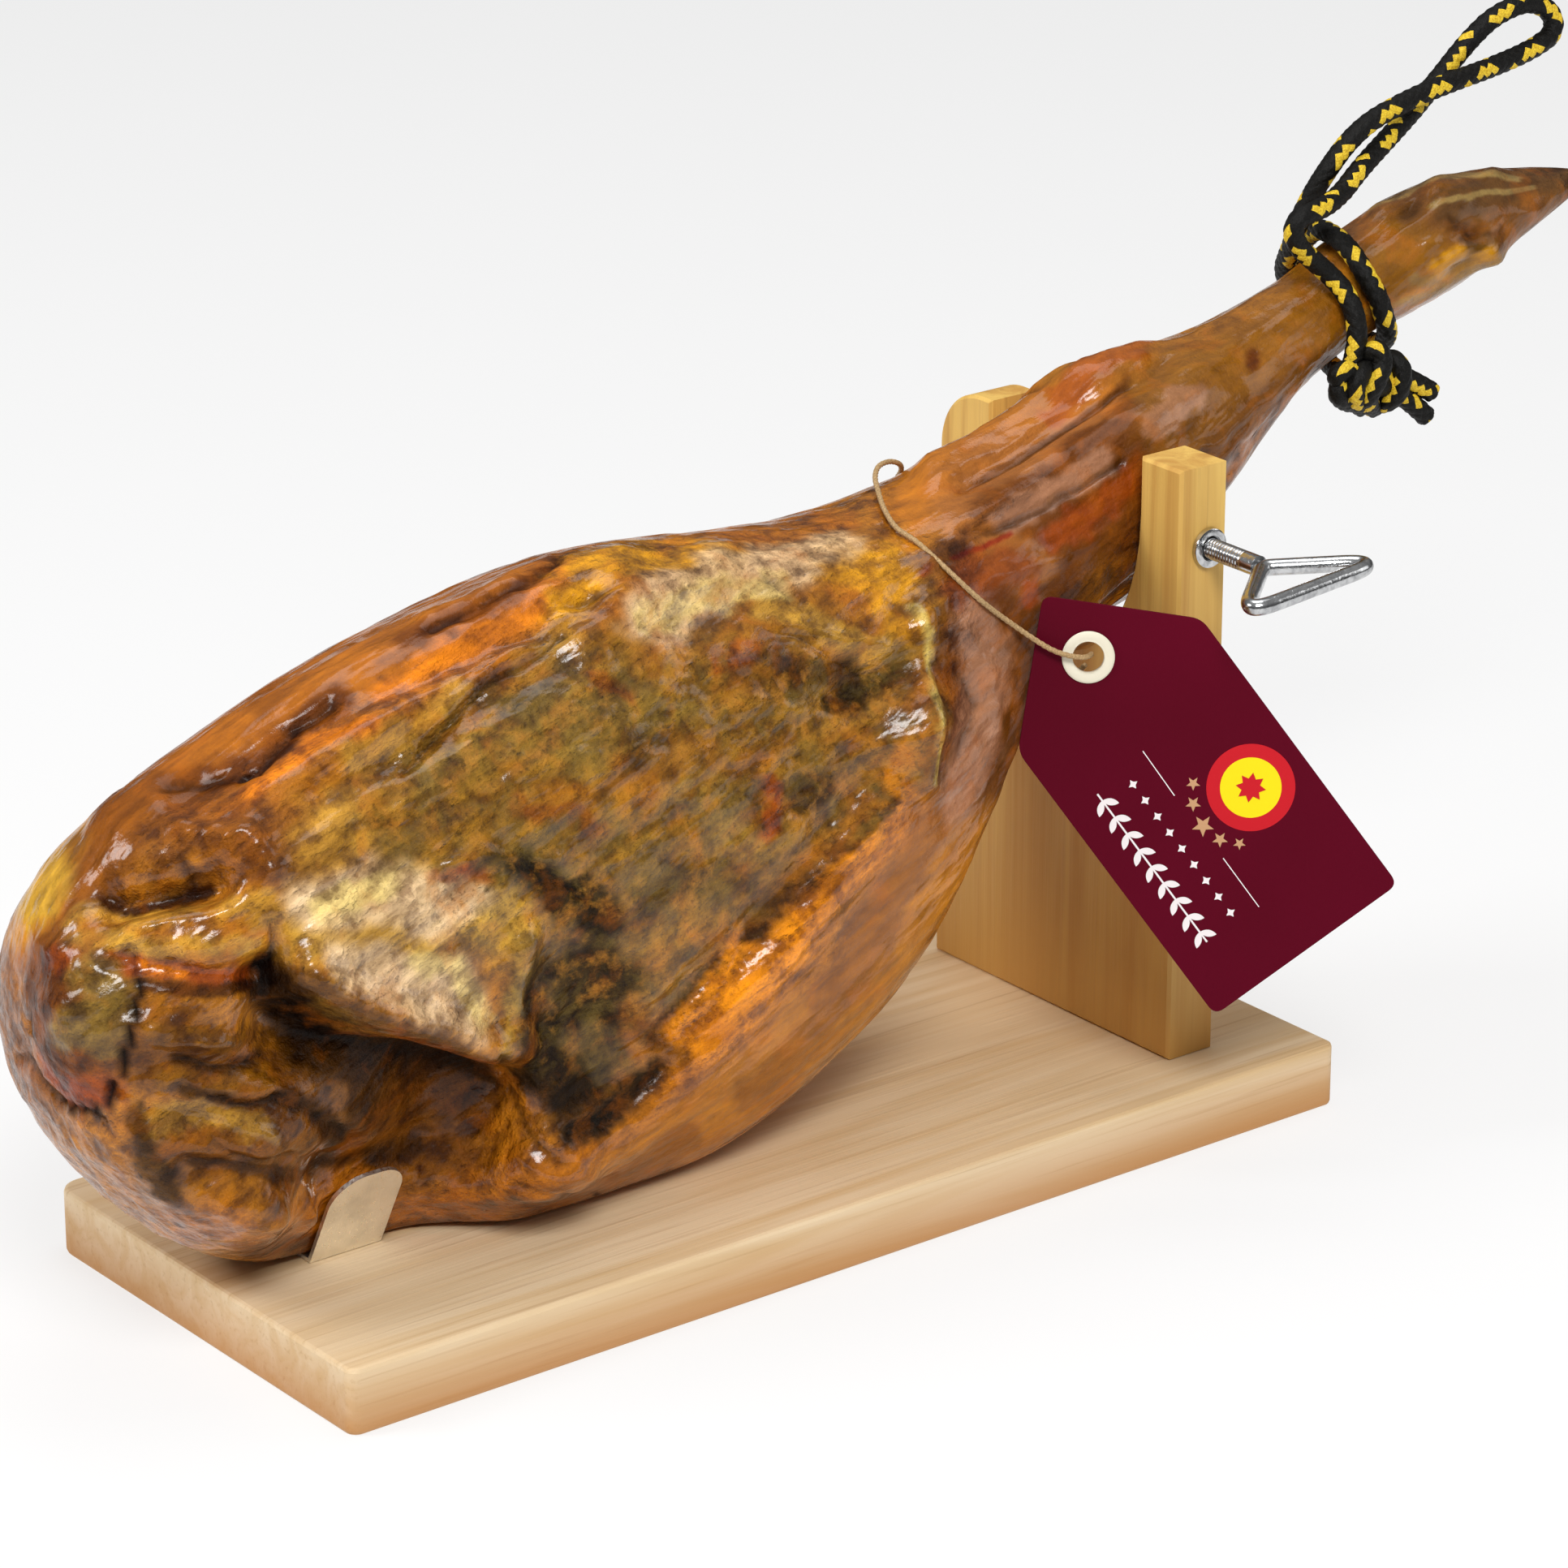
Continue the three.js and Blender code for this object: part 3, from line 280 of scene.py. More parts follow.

# Strokes of colour on the shown side: colour, strength, half width in px, raggedness, px route
# Strokes in the crease, valley and cavity colours are painted shade in the grooves, folds and
# hollows; other painted light is marked where it stands.
STROKES = [
    ("rim", 0.9, 55, 1.0, [(20, 1130), (90, 1030), (200, 930), (330, 850), (480, 770), (620, 700),
                           (760, 668)]),
    ("pale", 0.9, 30, 1.0, [(15, 1140), (45, 1080), (85, 1035)]),
    ("orange", 0.85, 60, 1.0, [(250, 985), (380, 890), (540, 800), (700, 730), (860, 690)]),
    ("rim", 0.7, 22, 0.6, [(205, 955), (262, 912), (300, 885), (335, 862)]),
    ("orange", 0.7, 16, 0.6, [(215, 962), (262, 925), (300, 898)]),
    ("valley_shade", 0.85, 17, 0.8, [(212, 980), (297, 952), (367, 900), (425, 868)]),
    ("crease_shade", 0.8, 7, 0.5, [(212, 984), (262, 966), (315, 952), (367, 900)]),
    ("bright", 0.9, 15, 1.0, [(285, 1012), (350, 957), (395, 917), (455, 900)]),
    ("bright", 0.7, 14, 1.0, [(470, 850), (560, 800), (640, 750), (720, 712)]),
    ("crease_shade", 0.85, 5, 0.4, [(520, 793), (575, 771), (636, 732), (690, 702)]),
    ("valley_shade", 0.7, 12, 0.6, [(500, 800), (560, 775), (640, 735)]),
    ("crease_shade", 0.85, 6, 0.4, [(505, 950), (540, 901), (566, 871), (597, 840), (649, 810),
                              (700, 778)]),
    ("valley_shade", 0.6, 14, 0.8, [(420, 985), (500, 935), (580, 850), (690, 790)]),
    ("straw", 0.6, 20, 1.0, [(440, 940), (520, 890), (560, 850)]),
    ("straw", 0.7, 40, 1.4, [(380, 1060), (440, 1010), (500, 980)]),
    ("rim", 0.8, 46, 1.2, [(120, 1060), (190, 1010), (260, 1010), (330, 1050)]),
    ("crease_shade", 0.7, 4, 0.3, [(126, 1008), (150, 985), (166, 965)]),
    ("crease_shade", 0.6, 4, 0.4, [(222, 1035), (228, 1060), (243, 1085)]),
    ("olive", 0.92, 85, 1.6, [(520, 1000), (640, 910), (760, 850), (880, 850), (1000, 860),
                              (1070, 900)]),
    ("olive", 0.92, 80, 1.6, [(620, 1090), (740, 1070), (880, 1040), (1000, 1000)]),
    ("olive", 0.92, 70, 1.6, [(700, 1200), (780, 1200), (850, 1130)]),
    ("grey", 0.7, 50, 2.2, [(690, 880), (760, 920), (820, 900)]),
    ("grey", 0.6, 34, 2.2, [(880, 985), (940, 1000)]),
    ("grey", 0.55, 38, 2.2, [(560, 960), (620, 900), (690, 850)]),
    ("straw", 0.5, 26, 2.0, [(640, 800), (700, 780)]),
    ("umber", 0.7, 24, 1.8, [(960, 1010), (1020, 970)]),
    ("umber", 0.6, 20, 1.8, [(930, 830), (1010, 850)]),
    ("umber", 0.5, 26, 2.0, [(820, 1100), (900, 1080)]),
    ("rust", 0.8, 9, 1.2, [(962, 965), (968, 1000), (962, 1035)]),
    ("rust", 0.6, 22, 2.0, [(890, 800), (940, 810)]),
    ("rust", 0.5, 12, 2.0, [(740, 835), (790, 850)]),
    ("rust", 0.45, 14, 2.0, [(650, 1000), (720, 1010), (760, 1030)]),
    ("amber", 0.6, 34, 2.0, [(1010, 760), (1080, 780), (1110, 850)]),
    ("yellow", 0.85, 24, 1.4, [(690, 745), (740, 705), (830, 685), (900, 695)]),
    ("yellow", 0.75, 28, 1.4, [(1030, 690), (1090, 700), (1125, 770)]),
    ("orange", 0.7, 18, 1.0, [(820, 662), (940, 655), (1040, 640)]),
    ("cream", 0.75, 30, 1.6, [(800, 745), (870, 718), (950, 700), (1030, 670)]),
    ("wax_and_highlight", 0.6, 16, 1.6, [(800, 750), (880, 725), (960, 725)]),
    ("straw", 0.7, 14, 1.2, [(950, 745), (1040, 780), (1110, 800)]),
    ("yellow", 0.7, 8, 1.0, [(1075, 805), (1092, 825), (1085, 840)]),
    ("pitch", 0.85, 13, 1.0, [(1045, 866), (1075, 850), (1108, 825)]),
    ("umber", 0.75, 18, 1.2, [(985, 822), (1060, 830)]),
    ("fat", 0.95, 30, 1.0, [(1132, 880), (1105, 990), (1055, 1060), (1005, 1115), (935, 1195),
                            (880, 1255), (850, 1310)]),
    ("orange", 0.8, 26, 1.0, [(860, 1330), (800, 1390), (720, 1420), (640, 1440)]),
    ("fat", 0.9, 20, 0.8, [(1010, 1115), (940, 1190), (885, 1245)]),
    ("skin", 0.9, 55, 1.0, [(1215, 950), (1150, 1080), (1070, 1210), (980, 1310), (880, 1395),
                            (740, 1475)]),
    ("rim", 0.6, 26, 1.4, [(1140, 1010), (1100, 1110), (1010, 1270), (930, 1340)]),
    ("neck", 0.6, 20, 1.0, [(640, 1480), (740, 1470), (850, 1400)]),
    # Painted shade: an umber line in the crease inside the fat roll
    ("umber", 0.85, 7, 0.8, [(1098, 985), (1050, 1040), (1000, 1085), (950, 1140), (905, 1185),
                             (850, 1245), (820, 1290)]),
    ("bark", 0.6, 16, 1.2, [(1085, 975), (1030, 1040), (960, 1110), (880, 1190)]),
    ("fat", 0.8, 7, 0.8, [(835, 1285), (870, 1240), (905, 1200), (925, 1150)]),
    ("moss_and_shadow", 0.85, 28, 1.6, [(565, 1085), (620, 1068), (690, 1100), (760, 1125)]),
    ("pitch", 0.85, 16, 1.4, [(580, 1090), (640, 1080), (680, 1105)]),
    ("pitch", 0.85, 24, 1.5, [(655, 1190), (665, 1270), (650, 1350)]),
    ("moss_and_shadow", 0.85, 52, 1.8, [(730, 1190), (740, 1290), (720, 1350)]),
    ("pitch", 0.7, 34, 1.8, [(700, 1290), (690, 1350), (760, 1350)]),
    ("pitch", 0.6, 18, 1.4, [(800, 1265), (835, 1300)]),
    ("grey", 0.45, 24, 2.0, [(750, 1300), (770, 1340)]),
    # Painted highlight: a pale line along the ridge between the pale and the dark patch
    ("straw", 0.85, 8, 0.8, [(660, 1140), (645, 1210), (628, 1270), (612, 1300)]),
    ("ash", 0.6, 5, 0.8, [(662, 1160), (655, 1220), (640, 1260)]),
    # Painted shade: the ink-black line lies in the crease below the dark patch
    ("ink", 0.9, 9, 0.8, [(695, 1398), (745, 1385), (790, 1352), (822, 1318)]),
    ("straw", 0.92, 58, 1.2, [(390, 1150), (460, 1130), (540, 1120), (600, 1130)]),
    ("cream", 0.92, 40, 1.2, [(390, 1110), (470, 1090), (560, 1110)]),
    ("cream", 0.9, 34, 1.2, [(430, 1190), (500, 1200), (570, 1230)]),
    # Painted highlight: a whitish streak on the pale fat
    ("wax_and_highlight", 0.7, 22, 1.4, [(400, 1115), (440, 1100), (480, 1080)]),
    ("wax_and_highlight", 0.6, 18, 1.4, [(520, 1180), (560, 1200), (590, 1240)]),
    ("rust", 0.6, 10, 1.6, [(545, 1075), (575, 1070), (600, 1080)]),
    ("bark", 0.9, 15, 1.2, [(362, 1208), (430, 1246), (520, 1275), (612, 1308)]),
    ("ash", 0.5, 8, 1.8, [(385, 1238), (440, 1265), (470, 1278)]),
    ("rust", 0.5, 7, 1.6, [(480, 1268), (540, 1290), (600, 1308)]),
    ("cavity_shade", 0.92, 24, 1.0, [(330, 1215), (385, 1272), (450, 1312), (540, 1345), (590, 1372)]),
    ("cavity_shade", 0.85, 42, 1.2, [(400, 1320), (480, 1370), (560, 1390)]),
    ("wall", 0.85, 13, 0.8, [(455, 1298), (530, 1320), (600, 1350)]),
    ("recess", 0.9, 56, 1.2, [(190, 1290), (260, 1330), (330, 1370)]),
    ("recess", 0.85, 40, 1.2, [(230, 1400), (330, 1420), (450, 1430), (560, 1430)]),
    ("amber", 0.75, 14, 1.4, [(190, 1275), (250, 1285), (310, 1292)]),
    ("amber", 0.7, 14, 1.4, [(200, 1340), (270, 1352), (330, 1345)]),
    # Painted highlight: a pale line along a ridge of the lower folds
    ("straw", 0.55, 12, 1.4, [(190, 1385), (240, 1378), (330, 1400)]),
    # Painted shade: the next two umber lines lie in the grooves between the folds
    ("umber", 0.8, 7, 0.8, [(215, 1312), (280, 1330), (345, 1322)]),
    ("umber", 0.8, 8, 0.8, [(230, 1350), (300, 1370), (360, 1368)]),
    ("cavity_shade", 0.7, 12, 1.0, [(360, 1365), (410, 1400), (430, 1408)]),
    # Painted shade: an umber line in the groove above the bottom roll
    ("umber", 0.8, 7, 0.8, [(235, 1432), (330, 1450), (430, 1443), (520, 1425)]),
    ("straw", 0.75, 15, 1.4, [(100, 1165), (160, 1165), (240, 1172), (310, 1160)]),
    ("straw", 0.6, 16, 1.6, [(90, 1125), (180, 1130), (280, 1120), (330, 1110)]),
    ("crease_shade", 0.9, 9, 0.9, [(115, 1105), (150, 1112), (200, 1100), (262, 1088)]),
    ("rust", 0.85, 13, 1.0, [(140, 1188), (200, 1197), (262, 1207), (320, 1202)]),
    ("bright", 0.85, 8, 1.0, [(175, 1192), (205, 1198), (225, 1204)]),
    ("crease_shade", 0.85, 9, 0.9, [(170, 1215), (240, 1222), (320, 1222)]),
    ("cavity_shade", 0.95, 15, 0.8, [(335, 1185), (340, 1210)]),
    ("valley_shade", 0.9, 50, 1.0, [(70, 1200), (90, 1260), (90, 1310)]),
    ("rust", 0.9, 22, 1.0, [(55, 1320), (90, 1345), (125, 1340)]),
    ("rust", 0.6, 14, 1.2, [(80, 1180), (130, 1200)]),
    ("skin", 0.8, 26, 0.8, [(12, 1150), (8, 1230), (40, 1340), (120, 1430), (200, 1510),
                            (300, 1545)]),
    ("rim", 0.6, 18, 0.8, [(10, 1180), (15, 1260), (60, 1370)]),
    ("ash", 0.92, 24, 1.2, [(120, 1205), (130, 1240), (110, 1270)]),
    ("grey", 0.7, 15, 1.4, [(140, 1215), (148, 1250), (135, 1290)]),
    ("cavity_shade", 0.92, 6, 0.6, [(172, 1210), (165, 1262), (152, 1318), (128, 1364), (80, 1362)]),
    # Painted shadow: a dark strip beside the bone knob
    ("moss_and_shadow", 0.75, 14, 1.2, [(165, 1370), (190, 1420), (225, 1470)]),
    ("orange", 0.85, 30, 1.2, [(240, 1495), (330, 1505), (450, 1490), (600, 1470)]),
    ("neck", 0.7, 20, 1.2, [(300, 1525), (400, 1535), (560, 1515)]),
    ("crease_shade", 0.9, 3.5, 0.3, [(519, 1442), (521, 1452)]),
    ("crease_shade", 0.9, 3.5, 0.3, [(733, 1470), (737, 1473)]),
    ("neck", 0.95, 110, 1.0, [(1210, 900), (1230, 760), (1260, 640), (1400, 560)]),
    ("orange", 0.5, 30, 1.2, [(1100, 620), (1200, 560), (1330, 480)]),
    ("peach", 0.6, 24, 1.2, [(1160, 610), (1240, 560), (1330, 510)]),
    ("peach", 0.7, 30, 1.2, [(1170, 650), (1210, 660), (1260, 690)]),
    ("purple", 0.85, 34, 1.2, [(1190, 760), (1205, 840), (1190, 920), (1175, 980)]),
    ("purple", 0.7, 16, 1.2, [(1235, 640), (1290, 605), (1350, 580)]),
    ("red", 0.85, 24, 1.2, [(1165, 735), (1205, 705), (1240, 690)]),
    ("rust", 0.6, 18, 1.4, [(1290, 660), (1360, 620), (1400, 570)]),
    ("rust", 0.7, 10, 1.0, [(1265, 720), (1262, 740)]),
    ("blood", 0.85, 3.5, 0.5, [(1170, 692), (1205, 679), (1242, 660)]),
    ("blood", 0.7, 6, 0.6, [(1130, 712), (1136, 706)]),
    ("crease_shade", 0.5, 5, 0.6, [(1200, 590), (1300, 530), (1390, 465)]),
    ("rust", 0.55, 12, 1.0, [(1290, 510), (1350, 450), (1405, 428)]),
    ("membrane", 0.85, 4.5, 0.8, [(1120, 748), (1134, 780), (1140, 850), (1136, 900), (1142, 960)]),
    ("shank", 0.9, 70, 1.0, [(1450, 510), (1560, 430), (1660, 370)]),
    ("amber", 0.5, 22, 1.2, [(1400, 480), (1500, 430)]),
    ("under", 0.8, 22, 0.8, [(1470, 590), (1540, 520), (1620, 450)]),
    ("purple", 0.5, 7, 1.2, [(1500, 590), (1560, 520), (1610, 470)]),
    ("purple", 0.6, 15, 2.0, [(1400, 525), (1430, 505), (1465, 490)]),
    ("foot", 0.92, 60, 1.0, [(1700, 300), (1800, 250), (1900, 225)]),
    ("amber", 0.8, 24, 1.2, [(1680, 340), (1720, 300), (1760, 310)]),
    ("amber", 0.6, 14, 1.2, [(1790, 320), (1840, 300)]),
    ("tip", 0.75, 18, 1.2, [(1780, 262), (1850, 232), (1925, 215)]),
    ("amber", 0.9, 20, 1.4, [(1665, 345), (1700, 330), (1725, 352)]),
    ("yellow", 0.6, 13, 1.6, [(1770, 332), (1812, 322), (1838, 300)]),
    ("umber", 0.75, 10, 1.6, [(1790, 275), (1815, 300), (1850, 290)]),
    ("wax_and_highlight", 0.25, 3.5, 1.0, [(1690, 262), (1740, 240), (1800, 226), (1870, 222)]),
    ("wax_and_highlight", 0.22, 3.0, 1.2, [(1760, 262), (1830, 242), (1890, 232)]),
    ("ash", 0.6, 5.0, 1.4, [(1680, 385), (1735, 372), (1790, 350), (1850, 308)]),
    ("ash", 0.6, 7.0, 1.6, [(1740, 345), (1775, 352)]),
]
# A bruise on the shank and the like: colour, strength, px half width across and down, px place
MARKS = [
    ("bruise", 0.8, 9, 14, (1543, 443)),
    # Painted shade: the next two marks darken the hole under the shelf and a spot on the bone knob
    ("cavity_shade", 0.9, 14, 16, (338, 1198)),
    ("crease_shade", 0.6, 7, 6, (95, 1305)),
    ("rust", 0.7, 9, 7, (577, 1072)),
    ("moss_and_shadow", 0.5, 20, 12, (470, 1010)),
    ("moss_and_shadow", 0.45, 26, 14, (640, 860)),
]


def smooth(low, high, x):
    t = np.clip((x - low) / (high - low), 0, 1)
    return t * t * (3 - 2 * t)


def linear(colour):
    """A hex colour as linear RGB."""
    values = [int(colour[i:i + 2], 16) / 255 for i in (1, 3, 5)]
    return np.array([v / 12.92 if v <= 0.04045 else ((v + 0.055) / 1.055) ** 2.4 for v in values])


def rgba(colour):
    return (*linear(colour), 1.0)


def lattice(x, y, z, seed):
    """A fixed pseudo-random value from -1 to 1 for each whole place."""
    mask = 0xFFFFFFFF
    n = (x * 73856093) ^ (y * 19349663) ^ (z * 83492791) ^ (seed * 2654435761)
    n = ((n & mask) ^ ((n & mask) >> 13)) * 1274126177 & mask
    return ((n ^ (n >> 16)) & 0xFFFF) / 32767.5 - 1


def noise(places, seed):
    """Smooth noise from -1 to 1 with a unit grid."""
    whole = np.floor(places).astype(np.int64)
    part = places - whole
    part = part * part * (3 - 2 * part)
    total = 0
    for corner in range(8):
        step = np.array([corner & 1, corner >> 1 & 1, corner >> 2 & 1])
        weight = np.prod(np.where(step, part, 1 - part), axis=-1)
        total = total + weight * lattice(*np.moveaxis(whole + step, -1, 0), seed)
    return total


def cloud(places, size, octaves, seed):
    """Layered noise whose largest lumps are about size wide."""
    total = 0
    for octave in range(octaves):
        finer = 2 ** octave
        total = total + noise(places * finer / size + 17.3 * octave, seed + octave) / finer
    return total / (2 - 2 ** (1 - octaves))


def jitter(places, size, octaves, seeds):
    """Smooth noise for each seed, stacked, to shift places by."""
    return np.stack([cloud(places, size, octaves, seed) for seed in seeds], -1)


# Shader building
class Look:
    """A material whose nodes are made by short calls."""

    def __init__(self, name):
        self.material = bpy.data.materials.new(name)
        self.material.use_nodes = True
        self.tree = self.material.node_tree
        self.shader = self.tree.nodes["Principled BSDF"]

    def put(self, socket, value):
        if isinstance(value, bpy.types.NodeSocket):
            self.tree.links.new(value, socket)
        else:
            socket.default_value = value

    def node(self, kind, inputs=(), output=0, **settings):
        made = self.tree.nodes.new(kind)
        for name, value in settings.items():
            setattr(made, name, value)
        for name, value in dict(inputs).items():
            self.put(made.inputs[name], value)
        return made.outputs[output]

    def place(self, scale=(1, 1, 1), turn=(0, 0, 0)):
        own = self.node("ShaderNodeTexCoord", output="Object")
        return self.node("ShaderNodeMapping", {"Vector": own, "Scale": scale, "Rotation": turn})

    def noise(self, where, scale, detail=3.0, rough=0.5, warp=0.0):
        return self.node("ShaderNodeTexNoise", {
            "Vector": where, "Scale": scale, "Detail": detail, "Roughness": rough,
            "Distortion": warp,
        })

    def math(self, kind, a, b=0.0, c=0.0):
        made = self.tree.nodes.new("ShaderNodeMath")
        made.operation = kind
        for socket, value in zip(made.inputs, (a, b, c)):
            self.put(socket, value)
        return made.outputs[0]

    def span(self, value, low, high, to_low=0.0, to_high=1.0):
        return self.node("ShaderNodeMapRange", {
            "Value": value, "From Min": low, "From Max": high, "To Min": to_low, "To Max": to_high,
        })

    def mix(self, factor, a, b, blend="MIX"):
        made = self.tree.nodes.new("ShaderNodeMix")
        made.data_type = "RGBA"
        made.blend_type = blend
        self.put(made.inputs[0], factor)
        self.put(made.inputs[6], rgba(a) if isinstance(a, str) else a)
        self.put(made.inputs[7], rgba(b) if isinstance(b, str) else b)
        return made.outputs[2]

    def value_of(self, name, output="Fac"):
        return self.node("ShaderNodeAttribute", output=output, attribute_name=name)

    def axis(self, vector, letter):
        return self.node("ShaderNodeSeparateXYZ", {"Vector": vector}, output=letter)

    def bump(self, height, depth, below=None):
        inputs = {"Height": height, "Distance": depth, "Strength": 1.0}
        if below is not None:
            inputs["Normal"] = below
        return self.node("ShaderNodeBump", inputs)

    def finish(self, **inputs):
        for name, value in inputs.items():
            self.put(self.shader.inputs[name.replace("_", " ")], value)
        return self.material


def link_object(name, data):
    obj = bpy.data.objects.new(name, data)
    bpy.context.scene.collection.objects.link(obj)
    return obj


def dress(obj, material):
    obj.data.materials.clear()
    obj.data.materials.append(material)


def shade_smooth(obj, angle=None):
    for face in obj.data.polygons:
        face.use_smooth = True
    if angle is not None:
        obj.data.set_sharp_from_angle(angle=angle)


def mesh_object(name, points, faces, material, body="stand", smooth_angle=None):
    mesh = bpy.data.meshes.new(name)
    mesh.from_pydata([tuple(p) for p in points], [], faces)
    mesh.update()
    obj = link_object(name, mesh)
    dress(obj, material)
    shade_smooth(obj, smooth_angle)
    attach(obj, body)
    return obj


def fan(centre, first, second):
    """Triangles from one point to pairs of points."""
    return [(centre, int(a), int(b)) for a, b in zip(first, second)]


def keep_values(obj, name, kind, field, values):
    """Gives each point of a mesh a value that its material reads."""
    layer = obj.data.attributes.new(name, kind, "POINT")
    layer.data.foreach_set(field, np.asarray(values, np.float32).ravel())


# Camera, lights and floor
def make_camera():
    data = bpy.data.cameras.new("view")
    data.sensor_width = SENSOR_MM
    data.lens = FOCAL_PX / PHOTO_PX * SENSOR_MM
    data.clip_end = 20
    camera = link_object("view", data)
    axes = Matrix([ACROSS, UPWARD, TO_VIEWER]).transposed()
    camera.matrix_world = Matrix.Translation(Vector(VIEW_POINT_MM * MM)) @ axes.to_4x4()
    bpy.context.scene.camera = camera


# Area lights: place, size, watts. They aim at the middle of the ham
LIGHTS = {
    "key": ((-1.0, -1.9, 2.3), (1.1, 0.9), 62),
    "top": ((0.3, 0.3, 2.4), (1.4, 1.4), 14),
    "side": ((2.2, -1.6, 1.3), (0.9, 1.4), 6.5),
    "ridge": ((-2.0, 0.9, 1.7), (1.0, 0.7), 28),
}
LIT_PLACE = Vector((0, 0, 0.15))
# The world is bright overhead and dim along the horizon, so that steel and fat have dark
# reflections: its strength between two heights of the view direction
WORLD_STRENGTH = {"From Min": 0.05, "From Max": 0.75, "To Min": 0.04, "To Max": 0.32}
FLOOR_HALF = 6.0
FLOOR_GLOW = 0.66


def make_lights():
    for name, (place, size, watts) in LIGHTS.items():
        data = bpy.data.lights.new(name, "AREA")
        data.shape = "RECTANGLE"
        data.size, data.size_y = size
        data.energy = watts
        light = link_object(name, data)
        light.location = place
        light.rotation_euler = (Vector(place) - LIT_PLACE).to_track_quat("Z", "Y").to_euler()


def make_world():
    world = bpy.data.worlds.new("studio")
    bpy.context.scene.world = world
    world.use_nodes = True
    tree = world.node_tree
    way = tree.nodes.new("ShaderNodeTexCoord")
    axes = tree.nodes.new("ShaderNodeSeparateXYZ")
    tree.links.new(way.outputs["Generated"], axes.inputs["Vector"])
    rise = tree.nodes.new("ShaderNodeMapRange")
    for name, value in WORLD_STRENGTH.items():
        rise.inputs[name].default_value = value
    tree.links.new(axes.outputs["Z"], rise.inputs["Value"])
    tree.links.new(rise.outputs["Result"], tree.nodes["Background"].inputs["Strength"])
    tree.nodes["Background"].inputs["Color"].default_value = (1, 1, 1, 1)
    bpy.context.scene.view_settings.view_transform = "Standard"


def make_floor():
    look = Look("floor")
    grain = look.noise(look.place(), 6.0)
    look.finish(Base_Color=look.mix(look.span(grain, 0.3, 0.7, 0, 0.15), "#949494", "#909090"),
                Roughness=0.9, Specular_IOR_Level=0.1, Emission_Color=(1, 1, 1, 1),
                Emission_Strength=FLOOR_GLOW)
    corners = [(x * FLOOR_HALF, y * FLOOR_HALF, 0) for x, y in ((-1, -1), (1, -1), (1, 1), (-1, 1))]
    mesh = bpy.data.meshes.new("floor")
    mesh.from_pydata(corners, [], [(0, 1, 2, 3)])
    floor = link_object("floor", mesh)
    dress(floor, look.material)


# The ham's surface
def section_rows():
    rows = np.array(HAM_SECTIONS_MM, float)

    def mirrored(row):
        return np.array([row[2], row[3], row[0], row[1], -row[4], -row[5], row[6]])

    return np.vstack([mirrored(rows[1]), rows, mirrored(rows[-2])])


def sections_at(stations):
    rows = section_rows()
    whole = np.minimum(np.floor(stations).astype(int), len(rows) - 4)
    t = (stations - whole)[:, None]
    a, b, c, d = (rows[whole + k] for k in range(4))
    return 0.5 * (2 * b + (c - a) * t + (2 * a - 5 * b + 4 * c - d) * t ** 2
                  + (3 * b - a - 3 * c + d) * t ** 3)


def even_stations(count):
    """Stations about equally far apart along the ham."""
    fine = np.linspace(0, len(HAM_SECTIONS_MM) - 1, 1200)
    rows = sections_at(fine)
    middle = np.stack([rows[:, 0] + rows[:, 2], rows[:, 1] + rows[:, 3]], 1) / 2
    rim = np.hypot(np.diff(rows[:, 0]), np.diff(rows[:, 1]))
    step = np.maximum(np.hypot(*np.diff(middle, axis=0).T), 0.7 * rim)
    length = np.concatenate([[0], np.cumsum(step)])
    return np.interp(np.linspace(0, length[-1], count), length, fine)


def in_notch(points):
    """Keeps the ham inside the upright's notch."""
    u = UPRIGHT_MM
    x, y, z = np.moveaxis(points, -1, 0)
    middle = u["x"] + u["thickness"] / 2
    near = smooth(u["thickness"] / 2 + 7, u["thickness"] / 2 + 0.5, np.abs(x - middle))
    half = u["notch_half"] - GAP_MM - 0.2
    depth = u["notch_depth"] - GAP_MM - 0.2
    across = (y - u["notch_centre"]) / half
    down = np.minimum(z - u["straight_to"], 0) / depth
    out = np.maximum(np.hypot(across, down), 1)
    pulled = points.copy()
    pulled[..., 1] = u["notch_centre"] + (y - u["notch_centre"]) / out
    pulled[..., 2] = np.where(z < u["straight_to"], u["straight_to"] + down * depth / out, z)
    return points + (pulled - points) * near[..., None]


def between_wings(points):
    """Keeps the ham between the bracket's leaning wings and above the board."""
    x, y, z = np.moveaxis(points, -1, 0)
    near = smooth(62, 20, np.abs(x - BRACKET_X_MM)) * smooth(125, 60, z)
    limit = WING_FOOT_MM + np.maximum(z - WING_FOOT_Z_MM, 0) * math.tan(BRACKET_LEAN)
    squeezed = limit * np.tanh(y / limit)
    points[..., 1] = y + (squeezed - y) * near
    rest = BOARD_TOP_MM + GAP_MM
    blend = 6.0
    low = z < rest + blend
    points[..., 2] = np.where(low, rest + blend * np.exp((z - rest - blend) / blend), z)
    return points


def behind_wings(points):
    """Keeps the folded skin inside the wings, up to their tops."""
    x, y, z = np.moveaxis(points, -1, 0)
    near = smooth(24, 16, np.abs(x - BRACKET_X_MM)) * smooth(74, 62, z)
    limit = WING_FOOT_MM - 0.6 + np.maximum(z - WING_FOOT_Z_MM, 0) * math.tan(BRACKET_LEAN)
    points[..., 1] = y - np.sign(y) * np.maximum(np.abs(y) - limit, 0) * near
    return points


